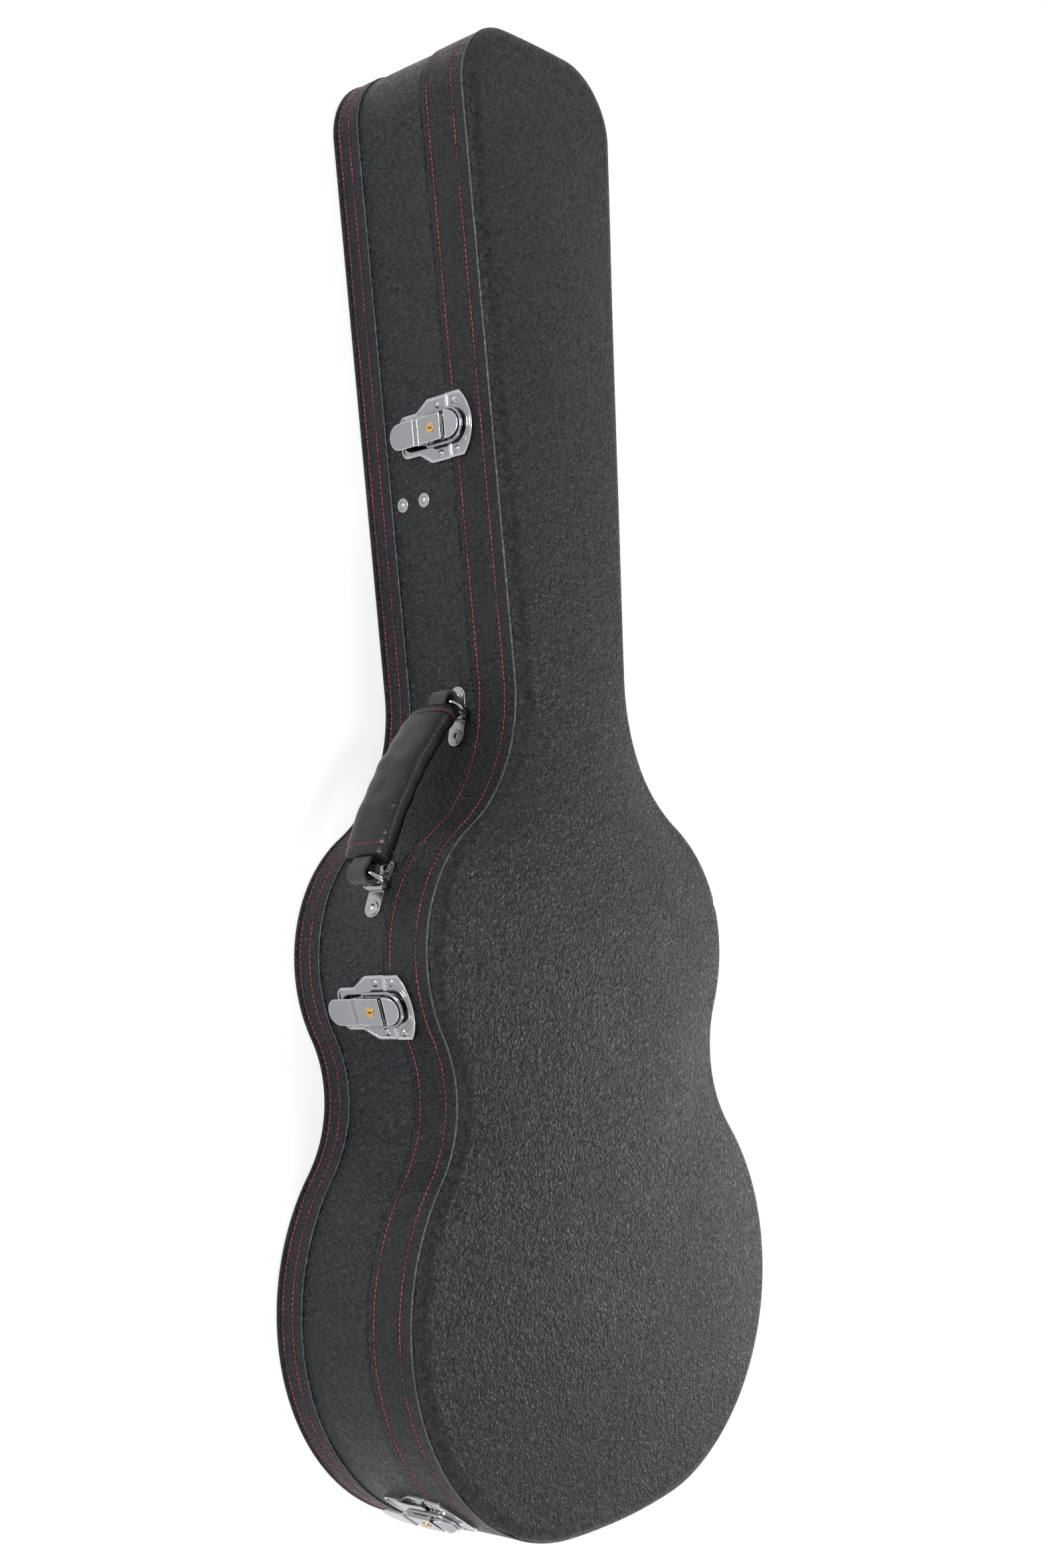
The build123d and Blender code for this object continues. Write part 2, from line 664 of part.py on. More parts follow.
def hingeLeaf(spot, seat, low, high, first):
    """A leaf that follows the wall, with every second knuckle, and tongues between the two."""
    frame = Plane(origin=(spot[0], spot[1], seamHeight), x_dir=(cos(hingeAlong), sin(hingeAlong), 0),
                  z_dir=(cos(hingeNormal), sin(hingeNormal), 0)).location
    half = hingeLength / 2
    blank = frame * slab(-half, half, low - seamHeight, high - seamHeight, -leafHeight / 2, leafHeight / 2)
    leaf = wallRing(seat + leafThick, seat, low, high) & blank
    knuckle = hingeLength / hingeKnuckles
    side = 1 if low > seamHeight - 1 else -1
    stop = (1 if side > 0 else -1) * knuckleRadius
    for k in range(first, hingeKnuckles, 2):
        left = -half + k * knuckle + (knuckleGap / 2 if k > 0 else 0)
        right = -half + (k + 1) * knuckle - (knuckleGap / 2 if k < hingeKnuckles - 1 else 0)
        barrel = Pos((left + right) / 2, 0, hingeOut) * Rot(0, 90, 0) * Cylinder(knuckleRadius, right - left)
        tongue = slab(left, right, min(seamGap * side, stop), max(seamGap * side, stop), -hingeOut, hingeOut)
        clip = frame * tongue - prism(seat + runningGap, seamHeight - leafHeight, seamHeight + leafHeight)
        leaf = leaf + frame * barrel + clip
    bore = hingePinRadius + (runningGap if side > 0 else 0)
    return leaf - frame * (Pos(0, 0, hingeOut) * Rot(0, 90, 0) * Cylinder(bore, hingeLength * 2))


pins = []
bodyHingeRivets = []
lidHingeRivets = []
for index, (spot, centre, radius) in enumerate(zip(
        hingeSpots, (centres["lower"], centres["upper"]), (lowerRadius, upperRadius)), 1):
    parts[f"hinge_body_leaf_{index}"] = hingeLeaf(spot, 0, seamHeight - leafHeight, bodyTop, 0)
    parts[f"hinge_lid_leaf_{index}"] = hingeLeaf(spot, bandRaise, lidLow, seamHeight + leafHeight, 1)
    axisSpot = polar(spot, hingeOut, hingeNormal)
    pinFrame = Plane(origin=(axisSpot[0], axisSpot[1], seamHeight), x_dir=(0, 0, 1),
                     z_dir=(cos(hingeAlong), sin(hingeAlong), 0)).location
    pins.append(pinFrame * Cylinder(hingePinRadius, hingeLength))
    for k in (-1, 0, 1):
        angle = hingeNormal + k * hingeRivetPitch / radius
        for rivets, seat, z in ((bodyHingeRivets, leafThick, seamHeight - hingeRivetHeight),
                                (lidHingeRivets, bandRaise + leafThick, seamHeight + hingeRivetHeight)):
            point = polar(centre, radius + seat, angle)
            spotFrame = Plane(origin=(point[0], point[1], z), x_dir=(-sin(angle), cos(angle), 0),
                              z_dir=(cos(angle), sin(angle), 0)).location
            rivets.append(spotFrame * roundHead(hingeRivetRadius, hingeRivetHigh))
parts["hinge_pins"] = Compound(pins)
parts["hinge_body_rivets"] = Compound(bodyHingeRivets)
parts["hinge_lid_rivets"] = Compound(lidHingeRivets)

# Neck cradle and accessory box inside the body half
cradleLow = screwY - cradleLength / 2
cradleHigh = screwY + cradleLength / 2
wide = lowerHalfWidth
cradle = prism(liningIn, floorTop, cradleHeight) & slab(-wide, wide, cradleLow, cradleHigh, 0, cradleHeight)
notch = slab(-cradleNotch / 2, cradleNotch / 2, cradleLow - 1, cradleHigh + 1, cradleFloor, cradleHeight + 1)
cradle = cradle - notch
parts["neck_cradle"] = cradle
boxLow = cradleLow - boxLength
floorLining = prism(liningIn, coverThick + plyThick, floorTop)
guitarBed = floorLining & slab(-wide, wide, -wide, boxLow - clearance, 0, seamHeight)
headFloor = floorLining & slab(-wide, wide, boxLow, caseLength, 0, seamHeight)
parts["body_floor_lining"] = Compound(guitarBed.solids() + headFloor.solids())
parts["accessory_box_wall"] = prism(liningIn, floorTop, boxHeight) & slab(-wide, wide, boxLow, boxLow + boxWall,
                                                                          0, boxHeight)
lidEdge = cradleLow - clearance
panel = prism(liningIn - 0.6, boxHeight + clearance, boxHeight + clearance + boxLidThick)
parts["accessory_lid"] = panel & slab(-wide, wide, boxLow, lidEdge, 0, seamHeight)
tabLow = boxHeight + clearance + boxLidThick
parts["accessory_tab"] = slab(-tabWidth / 2, tabWidth / 2, boxLow + 2, boxLow + 2 + tabLength,
                              tabLow, tabLow + tabThick)

# Each piece is written in the part's frame, whose origin is halfway along the case
os.makedirs("parts", exist_ok=True)
for name, shape in parts.items():
    export_step(Pos(0, -caseLength / 2, 0) * shape, f"parts/{name}.step")

print("latch frames", [[round(v, 3) for v in (p[0], p[1] - caseLength / 2, n)]
                       for p, n in (wallPlace(shift=plateThick, **q) for q in latchPlaces)])
print("ring bars", [(round(b[0], 3), round(b[1] - caseLength / 2, 3)) for b in bars], "turn", round(ringTurn, 4))
print("hinge axis", [round(v, 3) for v in (polar(hingeSpots[0], hingeOut, hingeNormal))], round(hingeAlong, 5))
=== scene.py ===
import json
import math

import bmesh
import bpy
import numpy as np
from mathutils import Matrix, Vector


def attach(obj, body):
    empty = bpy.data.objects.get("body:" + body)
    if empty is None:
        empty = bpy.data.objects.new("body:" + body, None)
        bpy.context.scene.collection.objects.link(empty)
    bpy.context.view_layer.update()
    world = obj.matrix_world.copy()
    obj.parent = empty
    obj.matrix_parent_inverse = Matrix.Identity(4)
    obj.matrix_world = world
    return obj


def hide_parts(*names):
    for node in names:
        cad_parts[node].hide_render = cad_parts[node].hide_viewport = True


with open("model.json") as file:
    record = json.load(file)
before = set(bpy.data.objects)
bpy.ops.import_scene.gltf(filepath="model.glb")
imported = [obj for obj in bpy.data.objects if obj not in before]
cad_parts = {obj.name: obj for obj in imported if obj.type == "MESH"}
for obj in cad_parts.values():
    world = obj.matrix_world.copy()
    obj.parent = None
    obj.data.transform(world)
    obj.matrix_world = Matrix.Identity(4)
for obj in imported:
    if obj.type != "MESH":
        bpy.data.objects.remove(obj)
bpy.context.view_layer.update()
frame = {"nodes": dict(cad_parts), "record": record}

cadNodes = frame["nodes"]
mm = 0.001

# The outline's tangent arcs and the levels of the covered case, in millimetres
case = {
    "length": 1060.0,
    "lowerWide": 200.0, "lowerY": 162.0, "lowerRadius": 160.0,
    "upperWide": 165.0, "upperY": 407.0, "upperRadius": 106.0,
    "waistRadius": 87.0, "shoulderRadius": 119.0,
    "neckWide": 62.0, "neckY": 650.0,
    "headWide": 82.0, "cornerRadius": 49.0, "headRadius": 1200.0,
    "seam": 88.0, "seamGap": 0.4, "bandTop": 127.0, "top": 135.0,
    "cover": 1.2, "ply": 4.0, "lining": 5.0, "lidLining": 4.0, "bandRaise": 1.2,
    "pipingTop": 4.5, "backBandTop": 25.0,
    "bodyArch": 13.0, "neckArch": 4.0, "archEnd": 0.4, "rollWide": 9.4,
}


def outlineArcs():
    # Circles tangent to each other: a centre lies at the sum of two radii from both neighbours
    lower = np.array([case["lowerWide"] - case["lowerRadius"], case["lowerY"]])
    upper = np.array([case["upperWide"] - case["upperRadius"], case["upperY"]])
    flat = case["lowerY"] - case["lowerRadius"]
    endY = (lower[0] ** 2 + case["lowerY"] ** 2 - case["lowerRadius"] ** 2) / (2 * flat)
    end = np.array([0.0, endY])
    reachLow = case["lowerRadius"] + case["waistRadius"]
    reachHigh = case["upperRadius"] + case["waistRadius"]
    span = np.hypot(*(upper - lower))
    along = (reachLow ** 2 - reachHigh ** 2 + span ** 2) / (2 * span)
    ray = (upper - lower) / span
    waist = lower + along * ray + math.sqrt(reachLow ** 2 - along ** 2) * np.array([ray[1], -ray[0]])
    rise = np.array([case["headWide"] - case["neckWide"], case["length"] - case["neckY"]])
    rise = rise / np.hypot(*rise)
    out = np.array([rise[1], -rise[0]])

    def besideNeck(shift, centre, reach):
        # Point at a shift from the neck's line and at a reach from a centre, on the head's side
        base = np.array([case["neckWide"], case["neckY"]]) + shift * out
        gap = base - centre
        half = gap @ rise
        return base + (-half + math.sqrt(half ** 2 - (gap @ gap - reach ** 2))) * rise

    shoulder = besideNeck(case["shoulderRadius"], upper, case["upperRadius"] + case["shoulderRadius"])
    head = np.array([0.0, case["length"] - case["headRadius"]])
    corner = besideNeck(-case["cornerRadius"], head, case["headRadius"] - case["cornerRadius"])
    return end, lower, waist, upper, shoulder, corner, head, out


def angleTo(a, b):
    # Direction from a to b
    return math.atan2(b[1] - a[1], b[0] - a[0])


arcPoints = 600


def walkOutline(count):
    # Points and outward normals at equal steps round the closed outline, from the bottom end to the head
    end, lower, waist, upper, shoulder, corner, head, out = outlineArcs()
    turn = math.atan2(out[1], out[0])
    arcs = [
        (end, end[1], -math.pi / 2, angleTo(end, lower), 1),
        (lower, case["lowerRadius"], angleTo(end, lower), angleTo(lower, waist), 1),
        (waist, case["waistRadius"], angleTo(waist, lower) + 2 * math.pi, angleTo(waist, upper), -1),
        (upper, case["upperRadius"], angleTo(upper, waist), angleTo(upper, shoulder), 1),
        (shoulder, case["shoulderRadius"], angleTo(shoulder, upper) + 2 * math.pi, turn + math.pi, -1),
        (corner, case["cornerRadius"], turn, angleTo(head, corner), 1),
        (head, case["headRadius"], angleTo(head, corner), math.pi / 2, 1),
    ]
    points = []
    normals = []
    for centre, radius, start, stop, side in arcs:
        a = np.linspace(start, stop, arcPoints)
        ray = np.stack([np.cos(a), np.sin(a)], 1)
        points.append(centre + radius * ray)
        normals.append(side * ray)
    points = np.concatenate(points)
    normals = np.concatenate(normals)
    points = np.concatenate([points, points[-2:0:-1] * [-1, 1]])
    normals = np.concatenate([normals, normals[-2:0:-1] * [-1, 1]])
    closed = np.concatenate([points, points[:1]])
    length = np.concatenate([[0], np.cumsum(np.hypot(*np.diff(closed, axis=0).T))])
    closedNormals = np.concatenate([normals, normals[:1]])
    s = np.arange(count) * length[-1] / count
    place = np.stack([np.interp(s, length, closed[:, k]) for k in (0, 1)], 1)
    facing = np.stack([np.interp(s, length, closedNormals[:, k]) for k in (0, 1)], 1)
    facing /= np.hypot(*facing.T)[:, None]
    return place, facing, length[-1]


wallCount = 1080
wallPoints, wallNormals, wallLength = walkOutline(wallCount)
wallSteps = np.arange(wallCount + 1) * wallLength / wallCount


def onWall(s, z, out):
    # World point at an arc length s, a height z and a distance out of the wall: P(s) + out N(s)
    s = np.asarray(s, float) % wallLength
    p = np.concatenate([wallPoints, wallPoints[:1]])
    n = np.concatenate([wallNormals, wallNormals[:1]])
    x = np.interp(s, wallSteps, p[:, 0]) + out * np.interp(s, wallSteps, n[:, 0])
    y = np.interp(s, wallSteps, p[:, 1]) + out * np.interp(s, wallSteps, n[:, 1])
    z = np.broadcast_to(np.asarray(z, float), x.shape)
    return np.stack([x, y - case["length"] / 2, z], -1) * mm


def nearestStep(x, y):
    # Arc length of the wall's point nearest to a point in the part's frame
    gap = np.hypot(wallPoints[:, 0] - x, wallPoints[:, 1] - case["length"] / 2 - y)
    return wallSteps[int(np.argmin(gap))]


def ease(t):
    # Smooth step from 0 to 1: 3 t^2 - 2 t^3
    t = np.clip(t, 0, 1)
    return t * t * (3 - 2 * t)


def halfWidth(y, shift):
    # Half width of the shifted outline at y, read off the right-hand side of the walk
    side = wallPoints[:wallCount // 2 + 1] + shift * wallNormals[:wallCount // 2 + 1]
    return np.interp(y, side[:, 1], side[:, 0])


def archRise(y):
    # Full over the body, low over the neck, nearly flat at both ends
    foot = ease(y / case["lowerY"])
    top = ease((case["length"] - y) / (case["length"] - case["neckY"]) * 3)
    slim = ease((y - case["upperY"]) / (case["neckY"] - case["upperY"]))
    return case["archEnd"] + (case["bodyArch"] + (case["neckArch"] - case["bodyArch"]) * slim) * foot * top


# The lid's loft has its sections at these places along the case; the table has its rows every millimetre
archStations = np.array([-12.0, 40.0, 95.0, 162.0, 225.0, 285.0, 345.0, 407.0, 462.0, 515.0, 570.0, 650.0,
                         730.0, 830.0, 930.0, 1010.0, 1072.0])
tableU = np.linspace(0, 1, 81)
tableY = np.arange(archStations[0], archStations[-1] + 1)
archEnds = {
    "footLift": 2.1, "footEnd": 30, "footLong": 24, "headDrop": 0.9, "headStart": 1012, "headLong": 38,
}


def splineRows(values):
    # Natural cubic spline through rows of values at the stations, read at every tableY
    gap = np.diff(archStations)
    count = len(archStations)
    system = np.eye(count)
    bend = np.zeros(values.shape)
    k = np.arange(1, count - 1)
    system[k, k - 1] = gap[:-1]
    system[k, k] = 2 * (gap[:-1] + gap[1:])
    system[k, k + 1] = gap[1:]
    bend[1:-1] = 6 * np.diff(np.diff(values, axis=0) / gap[:, None], axis=0)
    bend = np.linalg.solve(system, bend)
    i = np.clip(np.searchsorted(archStations, tableY) - 1, 0, count - 2)
    a = ((archStations[i + 1] - tableY) / gap[i])[:, None]
    b = 1 - a
    return (a * values[i] + b * values[i + 1]
            + ((a ** 3 - a) * bend[i] + (b ** 3 - b) * bend[i + 1]) * gap[i, None] ** 2 / 6)


def archTable():
    # Each station is a circular arc, rise - R + sqrt(R^2 - x^2), read at even shares of its own reach
    rise = archRise(archStations)
    inset = case["rollWide"] + 0.5
    inside = np.clip(archStations, inset, case["length"] - inset)
    half = np.maximum(halfWidth(inside, -case["rollWide"]), case["neckWide"])
    radius = (half ** 2 + rise ** 2) / (2 * rise)
    reach = half + 2 * case["rollWide"]
    high = (rise - radius)[:, None] + np.sqrt(radius[:, None] ** 2 - (tableU * reach[:, None]) ** 2)
    return splineRows(reach[:, None])[:, 0], splineRows(high)


archReach, archGrid = archTable()


def archHeight(x, y):
    # The table read at the share |x| / reach(y) and at y, evenly between its points, and a little
    # more at the bottom and less at the head, where the loft leaves the spline
    u = np.clip(np.abs(x) / np.interp(y, tableY, archReach) / tableU[1], 0, len(tableU) - 1.001)
    v = np.clip((y - tableY[0]) / (tableY[1] - tableY[0]), 0, len(tableY) - 1.001)
    i = u.astype(int)
    j = v.astype(int)
    u = u - i
    v = v - j
    near = archGrid[j, i] * (1 - u) + archGrid[j, i + 1] * u
    far = archGrid[j + 1, i] * (1 - u) + archGrid[j + 1, i + 1] * u
    foot = archEnds["footLift"] * ease((archEnds["footEnd"] - y) / archEnds["footLong"])
    head = archEnds["headDrop"] * ease((y - archEnds["headStart"]) / archEnds["headLong"])
    return near * (1 - v) + far * v + foot - head


def swell(x, y, size, seed, waves=9):
    # Smooth bumps, mostly between -1 and 1: the sum of sines with seeded directions near one
    # wavelength, over the root of their number
    draw = np.random.default_rng(seed)
    total = np.zeros(np.broadcast(x, y).shape)
    for _ in range(waves):
        turn = draw.uniform(0, 2 * math.pi)
        k = 2 * math.pi / (size * draw.uniform(0.7, 1.5))
        total += np.sin(k * (x * math.cos(turn) + y * math.sin(turn)) + draw.uniform(0, 2 * math.pi))
    return total / math.sqrt(waves)


def gridFaces(rows, cols, closeRows=False, closeCols=False, start=0):
    # Quads between neighbours on a rows x cols grid of points
    i = np.arange(rows if closeRows else rows - 1)
    j = np.arange(cols if closeCols else cols - 1)
    a, b = np.meshgrid(i, j, indexing="ij")
    a2 = (a + 1) % rows
    b2 = (b + 1) % cols
    quads = np.stack([a * cols + b, a2 * cols + b, a2 * cols + b2, a * cols + b2], -1)
    return quads.reshape(-1, 4) + start


def toLinear(code):
    # sRGB hex to the linear values that Blender's colour sockets take
    parts = [int(code[k:k + 2], 16) / 255 for k in (1, 3, 5)]
    return tuple(v / 12.92 if v <= 0.04045 else ((v + 0.055) / 1.055) ** 2.4 for v in parts) + (1.0,)


def node(tree, kind, inputs=None, stops=(), **settings):
    # Adds one shader node, sets its properties, fills or links its inputs, and sets a colour ramp's
    # stops, each a place and a hex colour or a grey value
    made = tree.nodes.new("ShaderNode" + kind)
    for name, value in settings.items():
        setattr(made, name, value)
    for name, value in (inputs or {}).items():
        if isinstance(value, bpy.types.NodeSocket):
            tree.links.new(value, made.inputs[name])
        else:
            made.inputs[name].default_value = value
    if stops:
        line = made.color_ramp.elements
        while len(line) < len(stops):
            line.new(0.5)
        for element, (place, colour) in zip(line, stops):
            element.position = place
            element.color = toLinear(colour) if isinstance(colour, str) else (colour, colour, colour, 1)
    return made


def newFinish(name, metallic=0.0, roughness=0.5):
    # A material with its shader, output and object coordinates
    finish = bpy.data.materials.new(name)
    finish.use_nodes = True
    tree = finish.node_tree
    tree.nodes.clear()
    where = node(tree, "TexCoord").outputs["Object"]
    skin = node(tree, "BsdfPrincipled", {"Metallic": metallic, "Roughness": roughness})
    node(tree, "OutputMaterial", {"Surface": skin.outputs[0]})
    return finish, tree, where, skin


def vinylFinish(name, dark, light, look):
    # Embossed PVC leathercloth: near black with a satin top coat, so that each pebble of the grain
    # catches a small light; the grain is deeper in some places than in others.
    # The real grain is about 1 mm; it is drawn 2 to 3 mm coarse so that it shows in the render
    finish, tree, where, skin = newFinish(name, roughness=look["gloss"])
    skin.inputs["Specular IOR Level"].default_value = look["coat"]
    grain = node(tree, "TexNoise", {"Vector": where, "Scale": 1000 / look["grainSize"], "Detail": 2.0,
                                    "Roughness": 0.55, "Distortion": 1.2}).outputs[0]
    pebble = node(tree, "TexVoronoi", {"Vector": where, "Scale": 1000 / look["pebbleSize"],
                                       "Randomness": 1.0}, feature="SMOOTH_F1").outputs[0]
    cloud = node(tree, "TexNoise", {"Vector": where, "Scale": 1000 / look["cloudSize"],
                                    "Detail": 3.0}).outputs[0]
    stretch = node(tree, "Mapping", {"Vector": where, "Scale": look["creasesPerMetre"]}).outputs[0]
    crease = node(tree, "TexNoise", {"Vector": stretch, "Scale": 1.0, "Detail": 2.0,
                                     "Distortion": 0.6}).outputs[0]
    creaseLine = node(tree, "ValToRGB", {"Fac": crease}, [(0.60, 0.0), (0.66, 1.0), (0.72, 0.0)]).outputs[0]
    tone = node(tree, "Mix", {0: cloud, 6: toLinear(dark), 7: toLinear(light)}, data_type="RGBA")
    peak = node(tree, "ValToRGB", {"Fac": grain}, [(0.36, 0.0), (0.64, 1.0)]).outputs[0]
    # Painted shade: the base colour is multiplied darker in the grain's valleys
    valley = node(tree, "ValToRGB", {"Fac": grain}, [(0.34, look["valley"]), (0.6, "#ffffff")]).outputs[0]
    grainValleyShade = node(tree, "Mix", {0: 1.0, 6: tone.outputs[2], 7: valley}, data_type="RGBA",
                blend_type="MULTIPLY")
    tree.links.new(grainValleyShade.outputs[2], skin.inputs["Base Color"])
    shine = node(tree, "MapRange", {"Value": peak, "To Min": look["gloss"] + 0.14,
                                    "To Max": look["gloss"] - 0.08})
    tree.links.new(shine.outputs[0], skin.inputs["Roughness"])
    depth = node(tree, "MapRange", {"Value": cloud, "From Min": 0.35, "From Max": 0.65,
                                    "To Min": look["grainDepth"] * 0.6, "To Max": look["grainDepth"]})
    first = node(tree, "Bump", {"Height": creaseLine, "Strength": look["creaseDepth"], "Distance": 0.0008})
    second = node(tree, "Bump", {"Height": pebble, "Strength": 0.7, "Distance": -0.0012,
                                 "Normal": first.outputs[0]})
    third = node(tree, "Bump", {"Height": grain, "Strength": depth.outputs[0], "Distance": 0.0036,
                                "Normal": second.outputs[0]})
    tree.links.new(third.outputs[0], skin.inputs["Normal"])
    return finish


# Sizes in millimetres; the creases are long along the case on the lid and short on the walls
faceVinyl = vinylFinish("embossed vinyl on the lid", "#201f22", "#333236", {
    "gloss": 0.4, "grainSize": 3.2, "pebbleSize": 2.2, "cloudSize": 70.0, "creasesPerMetre": (60, 12, 60),
    "creaseDepth": 0.3, "grainDepth": 0.85, "valley": "#5a5a5a", "coat": 0.2})
# Painted shade: the lid's vinyl again, with a darker, bluer base colour and darker grain valleys on the walls
shadedWallVinyl = vinylFinish("embossed vinyl on the walls", "#13161a", "#2c3138", {
    "gloss": 0.36, "grainSize": 3.0, "pebbleSize": 2.0, "cloudSize": 45.0, "creasesPerMetre": (30, 30, 60),
    "creaseDepth": 0.2, "grainDepth": 1.0, "valley": "#202020", "coat": 0.24})
bandVinyl = vinylFinish("embossed vinyl of the bands", "#0e0f12", "#1e2024", {
    "gloss": 0.36, "grainSize": 2.8, "pebbleSize": 1.9, "cloudSize": 40.0, "creasesPerMetre": (45, 45, 90),
    "creaseDepth": 0.2, "grainDepth": 0.8, "valley": "#484848", "coat": 0.22})
pipingVinyl = vinylFinish("smooth vinyl piping", "#3a3b3f", "#5a5b60", {
    "gloss": 0.3, "grainSize": 3.0, "pebbleSize": 2.0, "cloudSize": 30.0, "creasesPerMetre": (45, 45, 90),
    "creaseDepth": 0.0, "grainDepth": 0.2, "valley": "#909090", "coat": 0.4})


def metalFinish(name, colour, roughness, look):
    # Plated or solid metal: a painted highlight on the rims, where the rounded normal leaves the true one,
    # faint brush lines, and handling marks that change the gloss
    finish, tree, where, skin = newFinish(name, metallic=1.0, roughness=roughness)
    trueNormal = node(tree, "NewGeometry").outputs["True Normal"]
    rimNormal = node(tree, "Bevel", {"Radius": look["rim"] * mm}, samples=6).outputs[0]
    flat = node(tree, "VectorMath", {0: trueNormal, 1: rimNormal}, operation="DOT_PRODUCT").outputs["Value"]
    # Painted highlight: the base colour turns pale where the rounded normal leaves the true one
    rim = node(tree, "ValToRGB", {"Fac": flat}, [(0.72, look["rimColour"]), (0.97, colour)])
    tree.links.new(rim.outputs[0], skin.inputs["Base Color"])
    mark = node(tree, "TexNoise", {"Vector": where, "Scale": 1000 / look["markSize"],
                                   "Detail": 3.0}).outputs[0]
    gloss = node(tree, "MapRange", {"Value": mark, "To Min": roughness * 0.6, "To Max": roughness * 1.5})
    tree.links.new(gloss.outputs[0], skin.inputs["Roughness"])
    stretch = node(tree, "Mapping", {"Vector": where, "Scale": look["linesPerMetre"]}).outputs[0]
    line = node(tree, "TexNoise", {"Vector": stretch, "Scale": 1.0, "Detail": 2.0}).outputs[0]
    edge = node(tree, "Bevel", {"Radius": look["edge"] * mm}, samples=4)
    bump = node(tree, "Bump", {"Height": line, "Strength": look["depth"], "Distance": 0.0002,
                               "Normal": edge.outputs[0]})
    tree.links.new(bump.outputs[0], skin.inputs["Normal"])
    return finish


chrome = metalFinish("polished chrome plate", "#8e9094", 0.09, {
    "markSize": 6.0, "linesPerMetre": (300, 300, 300), "depth": 0.1, "edge": 0.5,
    "rim": 1.3, "rimColour": "#f6f7f8"})
nickel = metalFinish("satin nickel plate", "#9a9c9c", 0.26, {
    "markSize": 4.0, "linesPerMetre": (900, 900, 250), "depth": 0.3, "edge": 0.4,
    "rim": 0.9, "rimColour": "#d4d6d6"})
brass = metalFinish("turned brass", "#c49a55", 0.2, {
    "markSize": 3.0, "linesPerMetre": (900, 900, 900), "depth": 0.2, "edge": 0.3,
    "rim": 0.5, "rimColour": "#e2c07c"})


def plushFinish():
    # Short-pile plush glued on board: brushed patches of 45 mm, a pile of 1.4 mm, a sheen at grazing angles
    finish, tree, where, skin = newFinish("short-pile plush", roughness=0.95)
    skin.inputs["Sheen Weight"].default_value = 0.6
    skin.inputs["Sheen Roughness"].default_value = 0.4
    skin.inputs["Sheen Tint"].default_value = toLinear("#d08590")
    patch = node(tree, "TexNoise", {"Vector": where, "Scale": 1000 / 45, "Detail": 4.0,
                                    "Distortion": 1.0}).outputs[0]
    pile = node(tree, "TexNoise", {"Vector": where, "Scale": 1000 / 1.4, "Detail": 2.0}).outputs[0]
    tone = node(tree, "Mix", {0: patch, 6: toLinear("#42101a"), 7: toLinear("#6e1c2b")}, data_type="RGBA")
    tree.links.new(tone.outputs[2], skin.inputs["Base Color"])
    bump = node(tree, "Bump", {"Height": pile, "Strength": 0.6, "Distance": 0.0008})
    tree.links.new(bump.outputs[0], skin.inputs["Normal"])
    return finish


def plywoodFinish():
    # Birch plywood: pale, with darker pores that run long along the sheet
    finish, tree, where, skin = newFinish("birch plywood", roughness=0.62)
    stretch = node(tree, "Mapping", {"Vector": where, "Scale": (400, 30, 900)}).outputs[0]
    pore = node(tree, "TexNoise", {"Vector": stretch, "Scale": 1.0, "Detail": 4.0}).outputs[0]
    tone = node(tree, "ValToRGB", {"Fac": pore}, [(0.3, "#8f6b45"), (0.6, "#c8a377")])
    tree.links.new(tone.outputs[0], skin.inputs["Base Color"])
    bump = node(tree, "Bump", {"Height": pore, "Strength": 0.3, "Distance": 0.0003})
    tree.links.new(bump.outputs[0], skin.inputs["Normal"])
    return finish


def threadFinish():
    # Twisted polyester thread, dulled and darkened in places by handling; the twist is 0.5 mm
    finish, tree, where, skin = newFinish("twisted polyester thread", roughness=0.6)
    soil = node(tree, "TexNoise", {"Vector": where, "Scale": 1000 / 14, "Detail": 3.0}).outputs[0]
    tone = node(tree, "ValToRGB", {"Fac": soil}, [(0.34, "#4a2a30"), (0.46, "#93303f"), (0.66, "#b8475a")])
    tree.links.new(tone.outputs[0], skin.inputs["Base Color"])
    twist = node(tree, "TexNoise", {"Vector": where, "Scale": 1000 / 0.5, "Detail": 2.0}).outputs[0]
    bump = node(tree, "Bump", {"Height": twist, "Strength": 0.4, "Distance": 0.0002})
    tree.links.new(bump.outputs[0], skin.inputs["Normal"])
    return finish


def gripFinish():
    # Smooth PVC leather over foam, glossier than the case, with a fine grain of 1.6 mm
    finish, tree, where, skin = newFinish("smooth vinyl of the handle", roughness=0.32)
    skin.inputs["Specular IOR Level"].default_value = 0.3
    grain = node(tree, "TexNoise", {"Vector": where, "Scale": 1000 / 1.6, "Detail": 3.0,
                                    "Distortion": 0.8}).outputs[0]
    cloud = node(tree, "TexNoise", {"Vector": where, "Scale": 1000 / 20, "Detail": 3.0}).outputs[0]
    tone = node(tree, "Mix", {0: cloud, 6: toLinear("#0a0b0c"), 7: toLinear("#17181b")}, data_type="RGBA")
    tree.links.new(tone.outputs[2], skin.inputs["Base Color"])
    bump = node(tree, "Bump", {"Height": grain, "Strength": 0.35, "Distance": 0.0004})
    tree.links.new(bump.outputs[0], skin.inputs["Normal"])
    return finish


